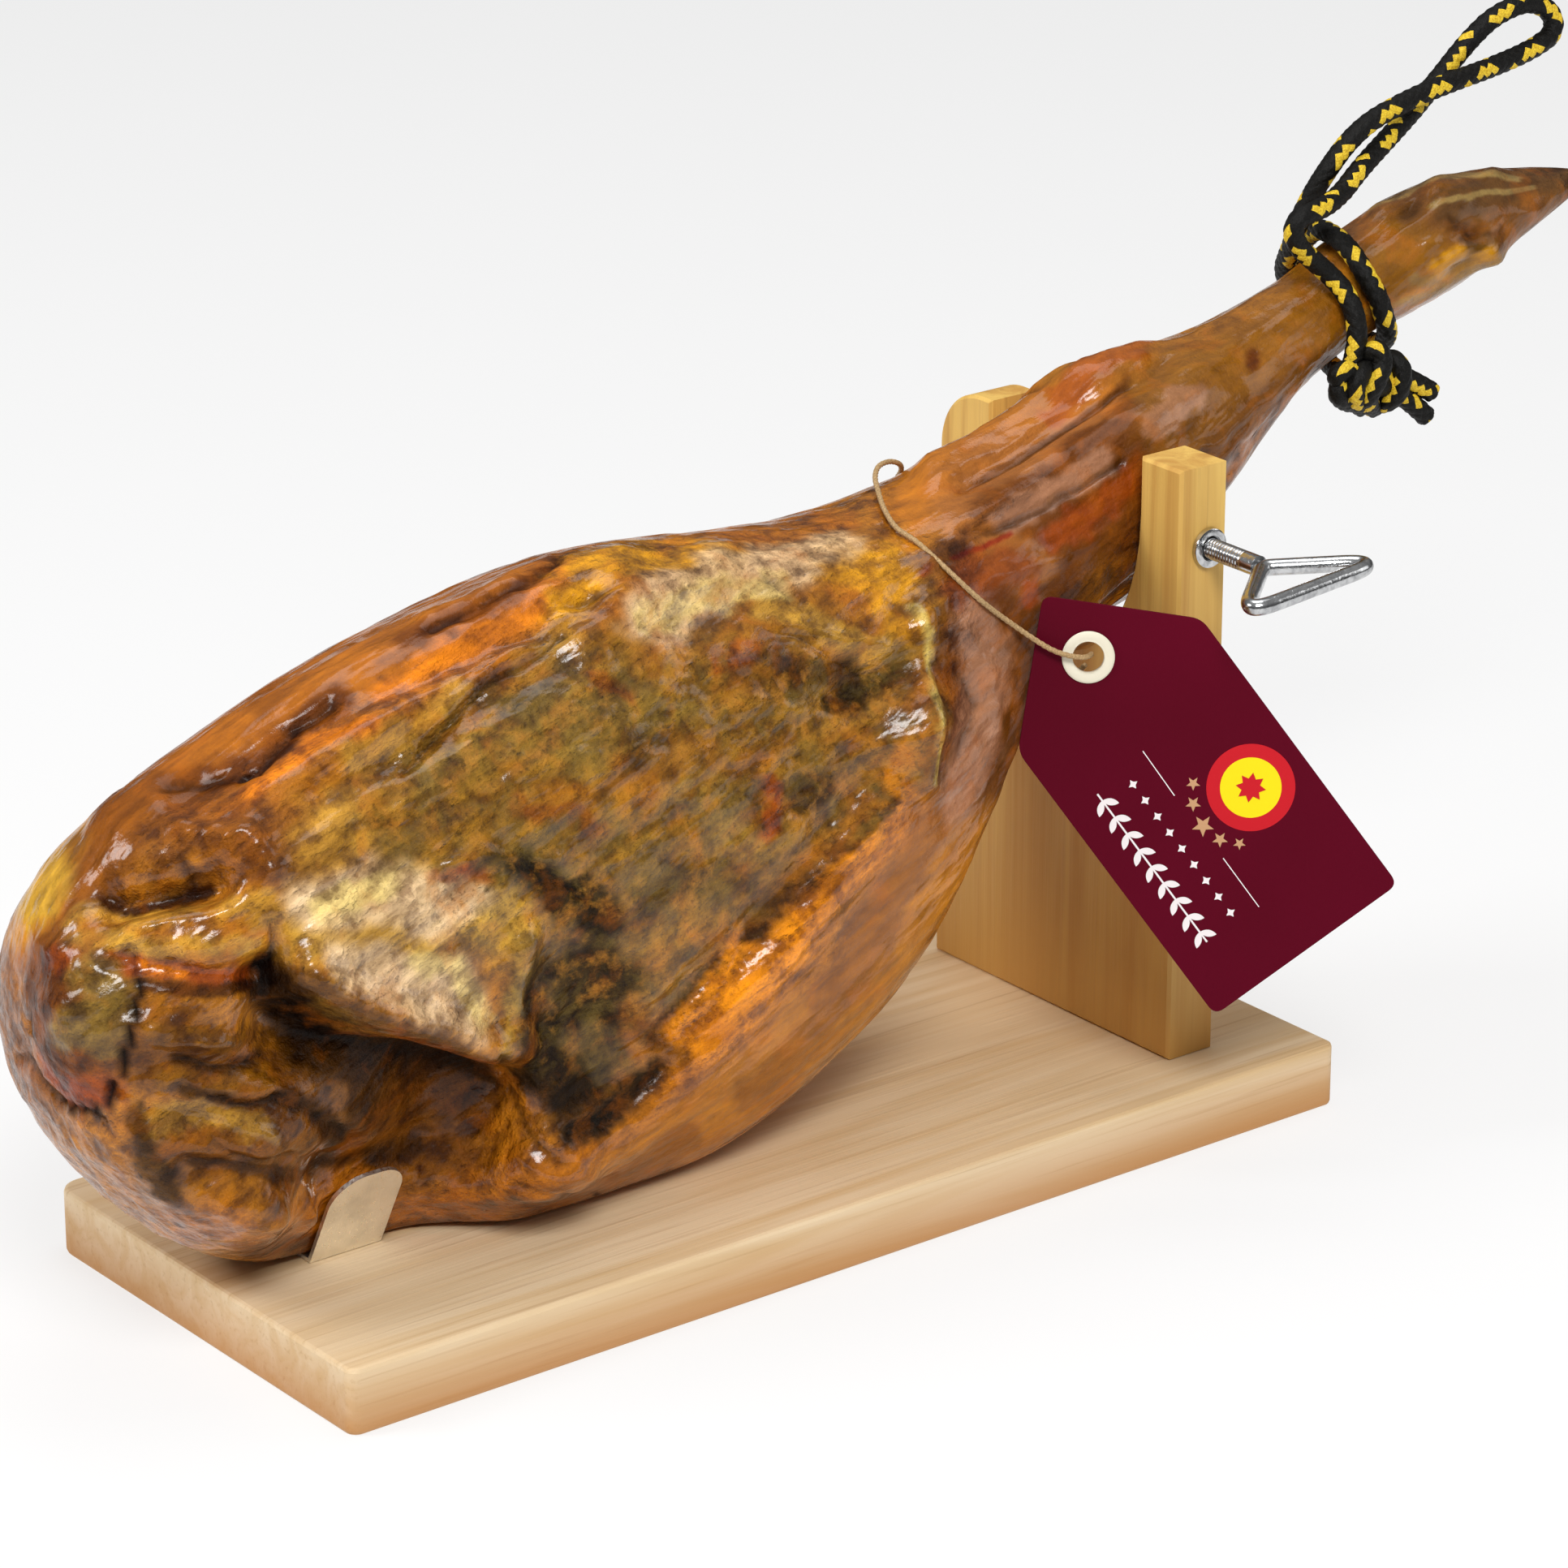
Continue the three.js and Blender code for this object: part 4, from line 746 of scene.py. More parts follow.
def ham_base(stations, angles):
    """Grid of points in mm: angle 0 is the top, a quarter turn is the shown side."""
    rows = sections_at(stations)[:, None]
    c, s = np.cos(angles)[None], np.sin(angles)[None]
    power = 2 / rows[..., 6]
    c = np.sign(c) * np.abs(c) ** power
    s = np.sign(s) * np.abs(s) ** power
    x = (rows[..., 0] + rows[..., 2]) / 2 + c * (rows[..., 0] - rows[..., 2]) / 2
    z = (rows[..., 1] + rows[..., 3]) / 2 + c * (rows[..., 1] - rows[..., 3]) / 2
    y = -s * np.where(s > 0, rows[..., 4], rows[..., 5])
    return between_wings(np.stack([x, y, z], -1))


def grid_normals(points):
    along = np.gradient(points, axis=0)
    ring = np.concatenate([points[:, -1:], points, points[:, :1]], axis=1)
    around = (ring[:, 2:] - ring[:, :-2]) / 2
    normal = np.cross(around, along)
    return normal / np.maximum(np.linalg.norm(normal, axis=-1, keepdims=True), 1e-9)


def chart(points):
    """Where points in mm fall in the photograph."""
    away = points - VIEW_POINT_MM
    scale = FOCAL_PX / -(away @ TO_VIEWER)
    return np.stack([PHOTO_PX / 2 + scale * (away @ ACROSS),
                     PHOTO_PX / 2 - scale * (away @ UPWARD)], -1)


def view_ray(u, v):
    return (-TO_VIEWER + (u - PHOTO_PX / 2) / FOCAL_PX * ACROSS
            - (v - PHOTO_PX / 2) / FOCAL_PX * UPWARD)


def from_chart(u, v, y):
    """The place in mm on the ray through a px place where Y is as given."""
    ray = view_ray(u, v)
    return VIEW_POINT_MM + ray * (y - VIEW_POINT_MM[1]) / ray[1]


def to_route(px, route):
    """Distance in px from each place to a route."""
    best = np.full(px.shape[:-1], np.inf)
    for a, b in zip(route[:-1], route[1:]):
        a, b = np.array(a, float), np.array(b, float)
        t = np.clip(((px - a) @ (b - a)) / ((b - a) @ (b - a)), 0, 1)
        best = np.minimum(best, np.linalg.norm(px - a - t[..., None] * (b - a), axis=-1))
    return best


def spot(px, across, down, turn, u, v):
    """1 on the edge of a turned ellipse whose half widths are in mm."""
    du, dv = (px[..., 0] - u) / PX_PER_MM, (px[..., 1] - v) / PX_PER_MM
    c, s = math.cos(math.radians(turn)), math.sin(math.radians(turn))
    return np.hypot((du * c - dv * s) / across, (du * s + dv * c) / down)


def shown_relief(px):
    height = np.zeros(px.shape[:-1])
    for rise, width, route in FORMS:
        height += rise * np.exp(-(to_route(px, route) / PX_PER_MM / width) ** 2)
    for rise, *place in SPOTS:
        height += rise * np.exp(-spot(px, *place) ** 2)
    p = PLATEAU
    inside = spot(px, p["across"], p["down"], p["turn"], *p["centre"])
    edge = p["edge"] / p["down"]
    return height - p["depth"] * smooth(1 + edge, 1 - edge, inside)


def fine_relief(px, wobble):
    height = np.zeros(px.shape[:-1])
    ragged = px + wobble * 9
    for rise, width, route in FOLDS:
        height += rise * np.exp(-(to_route(ragged, route) / PX_PER_MM / width) ** 2)
    for rise, *place in BLISTERS:
        height += rise * np.exp(-spot(px, *place) ** 2)
    return height


def back_relief(points):
    height = 0
    for rise, wave, turn in BACK_FOLDS:
        turn = math.radians(turn)
        along = points[..., 0] * math.cos(turn) + points[..., 2] * math.sin(turn)
        height = height + rise * np.sin(2 * np.pi * along / wave + np.sin(points[..., 2] / wave))
    return height


# The meat's fibres run along the ham, which rises towards the foot
FIBRE = np.array([0.93, 0.0, 0.37])
CROSS = np.array([-0.37, 0.0, 0.93])


def fibre_places(points):
    """Coordinates along the fibres, across them and in depth, in mm."""
    return np.stack([points @ FIBRE, points @ CROSS, points[..., 1]], -1)


def wrinkles(points, plateau, skin):
    """Dried folds along the fibres, lumps on the plateau and fine creases in the rind."""
    own = fibre_places(points) + 9 * jitter(points, 38, 2, (31, 32, 33))
    long = own / np.array([5.2, 1.0, 1.0])
    folds = 1 - 2 * np.abs(cloud(long, 15, 2, 41))
    small = 1 - 2 * np.abs(cloud(long, 6, 2, 47))
    lumps = cloud(own / np.array([1.7, 1, 1]), 12, 3, 51)
    crumple = 1 - 2 * np.abs(cloud(own / np.array([1.4, 1, 1]), 7, 2, 57))
    rind = 1 - 2 * np.abs(cloud(own, 8, 2, 61))
    meat = 1.1 * folds + 0.6 * small
    flat = 1.9 * lumps + 0.8 * crumple
    fine = 0.34 * rind + 0.4 * cloud(own, 26, 2, 63)
    return meat + (flat - meat) * plateau + (fine - meat - (flat - meat) * plateau) * skin


def zone(routes, width, ragged):
    """1 near the routes, 0 away from them, with the edge that ragged places give."""
    near = np.min([to_route(ragged, route) for route in routes], axis=0)
    return smooth(width * 1.35, width * 0.65, near)


PLATEAU_ROUTES = [
    [(520, 1000), (640, 910), (760, 850), (880, 850), (1070, 880)],
    [(620, 1100), (740, 1080), (900, 1040), (1040, 960)],
    [(690, 1250), (780, 1200), (860, 1120)],
]
SKIN_ROUTES = [
    [(1215, 950), (1150, 1080), (1070, 1210), (980, 1310), (880, 1395), (740, 1475)],
    [(20, 1130), (90, 1030), (200, 930), (330, 850), (480, 765), (600, 705)],
    [(1250, 900), (1250, 700), (1400, 560), (1560, 430), (1700, 330), (1850, 260)],
    [(1150, 600), (1300, 520), (1420, 440)],
]


def paint(points, px, shown, places):
    """The colour of every point: a ground, then the strokes and marks over the shown side."""
    wobble = jitter(places, 24, 3, (71, 72))
    close = jitter(places, 5, 2, (75, 76))
    colour = np.broadcast_to(linear(COLOURS["skin"]), (*px.shape[:-1], 3)).copy()
    side = cloud(places, 60, 3, 81)
    colour += (linear(COLOURS["orange"]) - colour) * smooth(0.0, 0.5, side)[..., None] * 0.6
    colour += (linear(COLOURS["shank"]) - colour) * smooth(0.0, -0.5, side)[..., None] * 0.5
    foot = smooth(320, 380, points[..., 0])[..., None]
    colour += (linear(COLOURS["foot"]) - colour) * foot * 0.8

    def lay_on(name, cover):
        colour[...] += (linear(COLOURS[name]) - colour) * (cover * shown)[..., None]

    for name, strength, width, rough, route in STROKES:
        shifted = px + (wobble * min(width, 30) * 0.9 + close * min(width, 12) * 0.7) * rough
        lay_on(name, strength * smooth(width * 1.4, width * 0.55, to_route(shifted, route)))
    for name, strength, across, down, (u, v) in MARKS:
        shifted = px + close * 4
        near = np.hypot((shifted[..., 0] - u) / across, (shifted[..., 1] - v) / down)
        lay_on(name, strength * smooth(1.4, 0.6, near))
    return colour


# A point's normal against the view gives how surely the photograph shows it: cosines between
# which each mask rises
SHOWN_COSINES = (0.06, 0.4)
HIDDEN_COSINES = (-0.1, -0.5)
PAINTED_COSINES = (0.0, 0.25)
BACK_RIND_COSINES = (-0.1, 0.3)
# Relief fades out on the board, and on the slim shank and foot
OFF_BOARD_MM = (BOARD_TOP_MM + 4, BOARD_TOP_MM + 30)
THICK_PART_X_MM = (150, 60)
FOOT_X_MM = (430, 300)
WRINKLE_HEIGHT = 0.9
# Painted shade: folds are darker at their bottoms
FOLD_SHADE_MM = (0.4, -1.6)
FOLD_SHADE_STRENGTH = 0.55
BRIGHTEN = 1.22


def ham_surface():
    """The ham's points in mm by ring, and what its material reads: colour, plateau, skin."""
    stations = even_stations(HAM_RINGS + 1)[1:-1]
    front = np.pi * np.arange(HAM_FRONT_STEPS) / HAM_FRONT_STEPS
    back = np.pi + np.pi * np.arange(HAM_BACK_STEPS) / HAM_BACK_STEPS
    base = ham_base(stations, np.concatenate([front, back]))
    normal = grid_normals(base)
    facing = normal @ TO_VIEWER
    px = chart(base)
    places = fibre_places(base)
    shown = smooth(*SHOWN_COSINES, facing)
    hidden = smooth(*HIDDEN_COSINES, facing)
    free = smooth(*OFF_BOARD_MM, base[..., 2])
    thick = smooth(*THICK_PART_X_MM, base[..., 0])
    ragged = px + 20 * jitter(places, 20, 2, (25, 26))
    plateau = zone(PLATEAU_ROUTES, 85, ragged) * shown
    skin = np.maximum(zone(SKIN_ROUTES, 60, ragged) * shown,
                      1 - smooth(*BACK_RIND_COSINES, facing))
    fine = shown * fine_relief(px, jitter(places, 12, 2, (21, 22)))
    calmer = 0.35 + 0.65 * smooth(*FOOT_X_MM, base[..., 0])
    fine = free * (fine + wrinkles(base, plateau, skin) * calmer * WRINKLE_HEIGHT)
    height = free * (shown * shown_relief(px) + hidden * thick * back_relief(base))
    points = behind_wings(in_notch(base + normal * (height + fine)[..., None]))
    points[..., 2] = np.maximum(points[..., 2], BOARD_TOP_MM + GAP_MM)
    colour = paint(base, px, smooth(*PAINTED_COSINES, facing), places)
    # Painted shade in the folds: the colour darkens where the relief goes in
    fold_shade = FOLD_SHADE_STRENGTH * (smooth(*FOLD_SHADE_MM, fine) * free)[..., None]
    return points, colour * BRIGHTEN * (1 - fold_shade), plateau, skin


def make_ham():
    points, colour, plateau, skin = ham_surface()
    last = len(HAM_SECTIONS_MM) - 1.0
    ends = [ham_base(np.array([at]), np.array([0.0]))[0] for at in (0.0, last)]
    rings, around = points.shape[:2]
    verts = np.vstack([ends[0], points.reshape(-1, 3), ends[1]]) * MM
    at = 1 + np.arange(rings * around).reshape(rings, around)
    after = np.roll(at, -1, axis=1)
    faces = np.stack([at[:-1], after[:-1], after[1:], at[1:]], -1).reshape(-1, 4).tolist()
    faces += fan(0, after[0], at[0]) + fan(len(verts) - 1, at[-1], after[-1])
    ham = mesh_object("ham_meat", verts, faces, ham_look())
    tint = np.vstack([colour[0].mean(0), colour.reshape(-1, 3), colour[-1].mean(0)])
    tint = np.hstack([np.clip(tint, 0, 1), np.ones((len(tint), 1))])
    keep_values(ham, "tint", "FLOAT_COLOR", "color", tint)
    for name, values in (("plateau", plateau), ("skin", skin)):
        keep_values(ham, name, "FLOAT", "value", np.concatenate([[0], values.ravel(), [0]]))
    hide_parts("ham")


def ham_look():
    look = Look("cured_meat")
    lean = math.atan2(FIBRE[2], FIBRE[0])
    own = look.place(turn=(0, lean, 0))
    long = look.node("ShaderNodeMapping", {"Vector": own, "Scale": (0.28, 1, 1)})
    tint = look.value_of("tint", "Color")
    plateau = look.value_of("plateau")
    skin = look.value_of("skin")
    streaks = look.noise(long, 150.0, 5.0, 0.6)
    specks = look.noise(own, 420.0, 4.0, 0.6)
    blots = look.noise(own, 60.0, 4.0, 0.6, 0.4)
    tone = look.mix(look.span(streaks, 0.34, 0.66), "#6a5230", "#ffffff")
    base = look.mix(look.span(skin, 0.0, 1.0, 0.7, 0.4), tint, tone, "MULTIPLY")
    mottle = look.noise(own, 120.0, 5.0, 0.6)
    dirt = look.math("MULTIPLY", look.span(mottle, 0.52, 0.36),
                     look.span(skin, 0.0, 1.0, 0.6, 0.15))
    base = look.mix(dirt, base, look.mix(1.0, base, "#6e4c28", "MULTIPLY"))
    flecks = look.math("MULTIPLY", look.span(mottle, 0.53, 0.68),
                       look.math("MULTIPLY", plateau, 0.5))
    base = look.mix(flecks, base, "#c08c4c")
    warm = look.mix(look.math("MULTIPLY", look.span(blots, 0.52, 0.72), 0.35), base, "#b86c0c")
    mould = look.math("MULTIPLY", look.span(specks, 0.56, 0.66),
                      look.math("MULTIPLY", plateau, 0.4))
    base = look.mix(mould, warm, "#2c2210")
    ashy = look.math("MULTIPLY", look.span(blots, 0.5, 0.36), look.math("MULTIPLY", plateau, 0.35))
    base = look.mix(ashy, base, "#8c7a52")
    pale = look.node("ShaderNodeRGBToBW", {"Color": tint})
    calm = look.span(skin, 0.0, 1.0, 1.0, 0.3)
    creases = look.bump(look.math("MULTIPLY", streaks, calm), 0.0032)
    lumps = look.bump(look.math("MULTIPLY", mottle, calm), 0.0036, creases)
    swells = look.noise(long, 130.0, 2.0, 0.4)
    dents = look.bump(swells, 0.003, lumps)
    pores = look.bump(specks, 0.0006, dents)
    film = look.bump(swells, 0.0019, look.bump(specks, 0.00012))
    shine = look.span(look.noise(own, 30.0, 3.0), 0.35, 0.65, 0.34, 0.55)
    dull = look.math("ADD", shine, look.math("MULTIPLY", skin, 0.04))
    wet = look.span(pale, 0.03, 0.2, 0.06, 0.8)
    graded = look.node("ShaderNodeGamma", {"Color": base, "Gamma": 1.14})
    graded = look.mix(1.0, graded, (1.27, 1.16, 0.56, 1.0), "MULTIPLY")
    return look.finish(Base_Color=graded, Roughness=dull, Normal=pores,
                       Coat_Normal=film, Coat_Weight=wet,
                       Coat_Roughness=0.14, Specular_IOR_Level=0.1)


# Wood
def wood_look(name, light, dark, turn, bottom_shade_tone, low, high):
    """Pine whose grain runs along the turned X, with painted shade that browns its sides towards
    their low edge.
    """
    look = Look(name)
    own = look.place(turn=turn)
    grain = look.node("ShaderNodeMapping", {"Vector": own, "Scale": (0.05, 1, 1)})
    bands = look.noise(grain, 75.0, 3.0, 0.55, 0.9)
    lines = look.noise(look.node("ShaderNodeMapping", {"Vector": own, "Scale": (0.02, 1, 1)}),
                       420.0, 3.0, 0.6)
    clouds = look.noise(own, 9.0, 2.0)
    tone = look.mix(look.span(bands, 0.38, 0.66), light, dark)
    tone = look.mix(look.math("MULTIPLY", look.span(lines, 0.56, 0.74), 0.35), tone, "#a5763c")
    tone = look.mix(look.math("MULTIPLY", look.span(clouds, 0.5, 0.75), 0.3), tone, dark)
    # Painted shade: the sides turn browner towards their low edge
    facing = look.node("ShaderNodeNewGeometry", output="Normal")
    side = look.span(look.math("ABSOLUTE", look.axis(facing, "Z")), 0.75, 0.35)
    height = look.axis(look.node("ShaderNodeTexCoord", output="Object"), "Z")
    bottom_shade = look.math("MULTIPLY", look.span(height, high, low), side)
    tone = look.mix(look.math("MULTIPLY", bottom_shade, 0.85), tone, bottom_shade_tone)
    relief = look.bump(lines, 0.0003)
    rough = look.span(bands, 0.3, 0.7, 0.5, 0.62)
    return look.finish(Base_Color=tone, Roughness=rough, Normal=relief, Specular_IOR_Level=0.35)


def steel_look():
    """Brushed sheet, a little dull in spots."""
    look = Look("bracket_steel")
    brushed = look.noise(look.place(scale=(1, 1, 0.05)), 900.0, 3.0, 0.6)
    spots = look.noise(look.place(), 90.0, 3.0)
    tone = look.mix(look.math("MULTIPLY", look.span(spots, 0.4, 0.75), 0.3), "#f4f2ec", "#8d8c88")
    return look.finish(Base_Color=tone, Metallic=1.0, Normal=look.bump(brushed, 0.00012),
                       Roughness=look.span(brushed, 0.3, 0.7, 0.238, 0.476))


def dress_stand():
    # The last three values give the painted shade at the foot of the sides: its colour and the
    # heights in metres between which it fades
    board = wood_look("board_pine", "#ead0aa", "#dcbb8c", (0, 0, 0), "#b97a38", 0.0, 0.024)
    upright = wood_look("upright_pine", "#e6bc64", "#c8964a", (0, math.pi / 2, 0), "#bd8a46",
                        0.02, 0.24)
    for name, material in (("base_board", board), ("upright", upright),
                           ("ham_bracket", steel_look())):
        for slot in NODES[name].material_slots:
            slot.material = material


# Turned and tubed pieces
def turned(profile, steps, x, z):
    """Points and faces of a turning about Y from closed (radius, y) points, in mm."""
    points, faces = [], []
    count = len(profile)
    for step in range(steps):
        angle = 2 * math.pi * step / steps
        for radius, y in profile:
            points.append((x + radius * math.cos(angle), y, z + radius * math.sin(angle)))
        for k in range(count):
            a, b = step * count + k, step * count + (k + 1) % count
            c, d = ((step + 1) % steps) * count + (k + 1) % count, ((step + 1) % steps) * count + k
            faces.append((a, b, c, d))
    return np.array(points), faces


def smooth_route(points, spacing):
    """A centripetal Catmull-Rom route through the points, with points about spacing apart."""
    points = np.array(points, float)
    points = np.vstack([2 * points[0] - points[1], points, 2 * points[-1] - points[-2]])
    made = []
    for p0, p1, p2, p3 in zip(points, points[1:], points[2:], points[3:]):
        t0 = 0.0
        t1 = t0 + math.sqrt(np.linalg.norm(p1 - p0))
        t2 = t1 + math.sqrt(np.linalg.norm(p2 - p1))
        t3 = t2 + math.sqrt(np.linalg.norm(p3 - p2))
        t = np.linspace(t1, t2, 24, endpoint=False)[:, None]
        a1 = ((t1 - t) * p0 + (t - t0) * p1) / (t1 - t0)
        a2 = ((t2 - t) * p1 + (t - t1) * p2) / (t2 - t1)
        a3 = ((t3 - t) * p2 + (t - t2) * p3) / (t3 - t2)
        b1 = ((t2 - t) * a1 + (t - t0) * a2) / (t2 - t0)
        b2 = ((t3 - t) * a2 + (t - t1) * a3) / (t3 - t1)
        made.append(((t2 - t) * b1 + (t - t1) * b2) / (t2 - t1))
    made = np.vstack([*made, points[-2]])
    length = np.concatenate([[0], np.cumsum(np.linalg.norm(np.diff(made, axis=0), axis=1))])
    count = max(int(length[-1] / spacing), 8)
    even = np.linspace(0, length[-1], count + 1)
    return np.stack([np.interp(even, length, made[:, k]) for k in range(3)], 1), even


def carried_frames(path, closed=False):
    """Side and up vectors carried along a path without twist."""
    if closed:
        tangent = np.roll(path, -1, axis=0) - np.roll(path, 1, axis=0)
    else:
        tangent = np.gradient(path, axis=0)
    tangent /= np.linalg.norm(tangent, axis=1, keepdims=True)
    side = np.cross(tangent[0], [0.3, 0.2, 0.93])
    sides = []
    for along in tangent:
        side = side - along * (side @ along)
        side = side / np.linalg.norm(side)
        sides.append(side)
    sides = np.array(sides)
    return sides, np.cross(tangent, sides)


def tube_mesh(path, lengths, radius, steps, height):
    """Points, faces and (turn, length) of a tube whose surface height depends on both."""
    sides, ups = carried_frames(path)
    turn = np.arange(steps) / steps
    u, v = np.meshgrid(turn, lengths)
    out = radius + height(u, v)
    ring = (np.cos(2 * np.pi * u)[..., None] * sides[:, None]
            + np.sin(2 * np.pi * u)[..., None] * ups[:, None])
    points = path[:, None] + ring * out[..., None]
    rows = len(path)
    at = np.arange(rows * steps).reshape(rows, steps)
    after = np.roll(at, -1, axis=1)
    faces = np.stack([at[:-1], at[1:], after[1:], after[:-1]], -1).reshape(-1, 4).tolist()
    verts = np.vstack([points.reshape(-1, 3), path[:1], path[-1:]])
    u, v = np.append(u, [0, 0]), np.append(v, [lengths[0], lengths[-1]])
    faces += fan(len(verts) - 2, at[0], after[0]) + fan(len(verts) - 1, after[-1], at[-1])
    return verts, faces, u, v


# Rope: twelve flat strands, six each way, over and under each other. The yellow ones show
# as chains of blocks: cells (a, b) of the braid, each taken modulo the strands one way
ROPE_STRANDS = 6
ROPE_TURN_MM = 25.5
TRACER_CELLS = [(0, 0), (1, 0), (1, 5), (2, 5), (2, 4), (2, 2), (3, 2)]


def braid_height(u, v):
    a = ROPE_STRANDS * (u + v / ROPE_TURN_MM)
    b = ROPE_STRANDS * (u - v / ROPE_TURN_MM)
    over = (np.floor(a) + np.floor(b)) % 2 == 0
    across = np.where(over, a - np.floor(a), b - np.floor(b))
    along = np.where(over, b - np.floor(b), a - np.floor(a))
    crown = np.sin(np.pi * across) ** 0.6 * (0.55 + 0.45 * np.sin(np.pi * along))
    return 0.5 * crown - 0.4


def string_height(u, v):
    return 0.09 * np.cos(2 * np.pi * (3 * u - v / 2.4)) - 0.05


def put_turns(obj, u, v):
    """Keeps how far round and how far along each point is, as a smooth pair and a length."""
    data = np.stack([np.cos(2 * np.pi * u), np.sin(2 * np.pi * u), v * 0.01], 1)
    keep_values(obj, "lay", "FLOAT_VECTOR", "vector", data)


def rope_look():
    look = Look("braided_rope")
    lay = look.value_of("lay", "Vector")
    turn = look.math("DIVIDE", look.math("ARCTAN2", look.axis(lay, "Y"), look.axis(lay, "X")),
                     2 * math.pi)
    length = look.math("MULTIPLY", look.axis(lay, "Z"), 100.0 / ROPE_TURN_MM)
    a = look.math("MULTIPLY", look.math("ADD", turn, length), float(ROPE_STRANDS))
    b = look.math("MULTIPLY", look.math("SUBTRACT", turn, length), float(ROPE_STRANDS))
    first = look.math("FLOORED_MODULO", look.math("FLOOR", a), float(ROPE_STRANDS))
    second = look.math("FLOORED_MODULO", look.math("FLOOR", b), float(ROPE_STRANDS))
    yellow = 0.0
    for own, other in TRACER_CELLS:
        same = look.math("MULTIPLY", look.math("COMPARE", first, float(own), 0.2),
                         look.math("COMPARE", second, float(other), 0.2))
        yellow = look.math("MAXIMUM", yellow, same)
    fibres = look.noise(look.place(), 1500.0, 2.0)
    black = look.mix(look.span(fibres, 0.35, 0.7), "#050504", "#14120f")
    gold = look.mix(look.span(fibres, 0.35, 0.7), "#f0cf3a", "#c2981c")
    return look.finish(Base_Color=look.mix(yellow, black, gold), Roughness=0.55,
                       Normal=look.bump(fibres, 0.0003), Specular_IOR_Level=0.2)


def string_look():
    look = Look("twisted_string")
    fibres = look.noise(look.place(), 1800.0, 3.0)
    tone = look.mix(look.span(fibres, 0.35, 0.7), "#c4a272", "#8f7148")
    return look.finish(Base_Color=tone, Roughness=0.75, Normal=look.bump(fibres, 0.0002))


def rope_piece(name, route, radius, spacing, kind, start=0.0):
    """A rope or string along a route in mm, its centre line and its length in metres."""
    path, lengths = smooth_route(route, spacing)
    verts, faces, u, v = tube_mesh(path, lengths + start, radius, kind["sides"], kind["height"])
    piece = mesh_object(name, verts * MM, faces, kind["material"])
    put_turns(piece, u, v)
    return piece, path * MM, lengths[-1] * MM


FILAMENTS = 70
FILAMENT_MM = 0.33


def frayed_end(name, route, material):
    """A tuft of loose filaments at a cut end."""
    route = np.array(route, float)
    end = route[-1]
    out = (route[-1] - route[-2]) / np.linalg.norm(route[-1] - route[-2])
    chance = np.random.default_rng(7)
    verts, faces = [], []
    for _ in range(FILAMENTS):
        away = chance.normal(size=3)
        away -= out * (away @ out)
        away /= np.linalg.norm(away)
        start = end - out * 1.2 + away * chance.uniform(0, 2.7)
        tip = start + out * chance.uniform(1.6, 3.2) + away * chance.uniform(-0.2, 0.9)
        wide = np.cross(out, away) * FILAMENT_MM
        deep = away * FILAMENT_MM
        first = len(verts)
        verts += [start + wide, start - wide, start + deep, tip]
        faces += [(first, first + 1, first + 3), (first + 1, first + 2, first + 3),
                  (first + 2, first, first + 3), (first, first + 2, first + 1)]
    return mesh_object(name, np.array(verts) * MM, faces, material)


def from_readings(readings):
    return [from_chart(*reading) for reading in readings]


def make_ropes():
    braid = {"material": rope_look(), "height": braid_height, "sides": 56, "slot": "rope"}
    twine = {"material": string_look(), "height": string_height, "sides": 18, "slot": "string"}
    rope, path, length = rope_piece("hanging_rope", from_readings(ROPE_ROUTE), ROPE_RADIUS_MM,
                                    0.7, braid)
    tails = [from_readings(route) for route in KNOT_TAILS]
    bends = [from_readings(route) for route in KNOT_BENDS] + tails
    knot = [rope_piece(f"knot_bend_{number}", route, ROPE_RADIUS_MM, 0.6, braid, 9.0 * number)[0]
            for number, route in enumerate(bends)]
    core = from_readings(KNOT_CORE)
    knot.append(rope_piece("knot_core", core, KNOT_CORE_RADIUS_MM, 0.7, braid)[0])
    knot += [frayed_end(f"knot_fray_{number}", route, braid["material"])
             for number, route in enumerate(tails)]
    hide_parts("rope")
    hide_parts("rope_knot")

    string, path, length = rope_piece("tag_cord", STRING_ROUTE_MM, STRING_RADIUS_MM, 0.5, twine)
    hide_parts("tag_string")


# Clamp screw
def zinc_look():
    look = Look("zinc")
    scuffs = look.noise(look.place(), 260.0, 4.0, 0.6, 0.5)
    tone = look.mix(look.span(scuffs, 0.4, 0.7), "#cfd0d1", "#9fa0a2")
    return look.finish(Base_Color=tone, Metallic=1.0, Normal=look.bump(scuffs, 0.00018),
                       Roughness=look.span(scuffs, 0.3, 0.7, 0.1, 0.26))


def loop_path():
    corners = [np.array([x, y, 0.0]) for x, y in LOOP_CORNERS_MM]
    count = len(corners)
    points = []
    for k, corner in enumerate(corners):
        bend = LOOP_BENDS_MM[k]
        before = corner + bend * unit(corners[k - 1] - corner)
        after = corner + bend * unit(corners[(k + 1) % count] - corner)
        for t in np.linspace(0, 1, 22):
            points.append((1 - t) ** 2 * before + 2 * t * (1 - t) * corner + t * t * after)
        start = corners[(k + 1) % count]
        nearer = start + LOOP_BENDS_MM[(k + 1) % count] * unit(corner - start)
        for t in np.linspace(0, 1, 18)[1:-1]:
            points.append(after + (nearer - after) * t)
    return np.array(points)


def unit(vector):
    return vector / np.linalg.norm(vector)


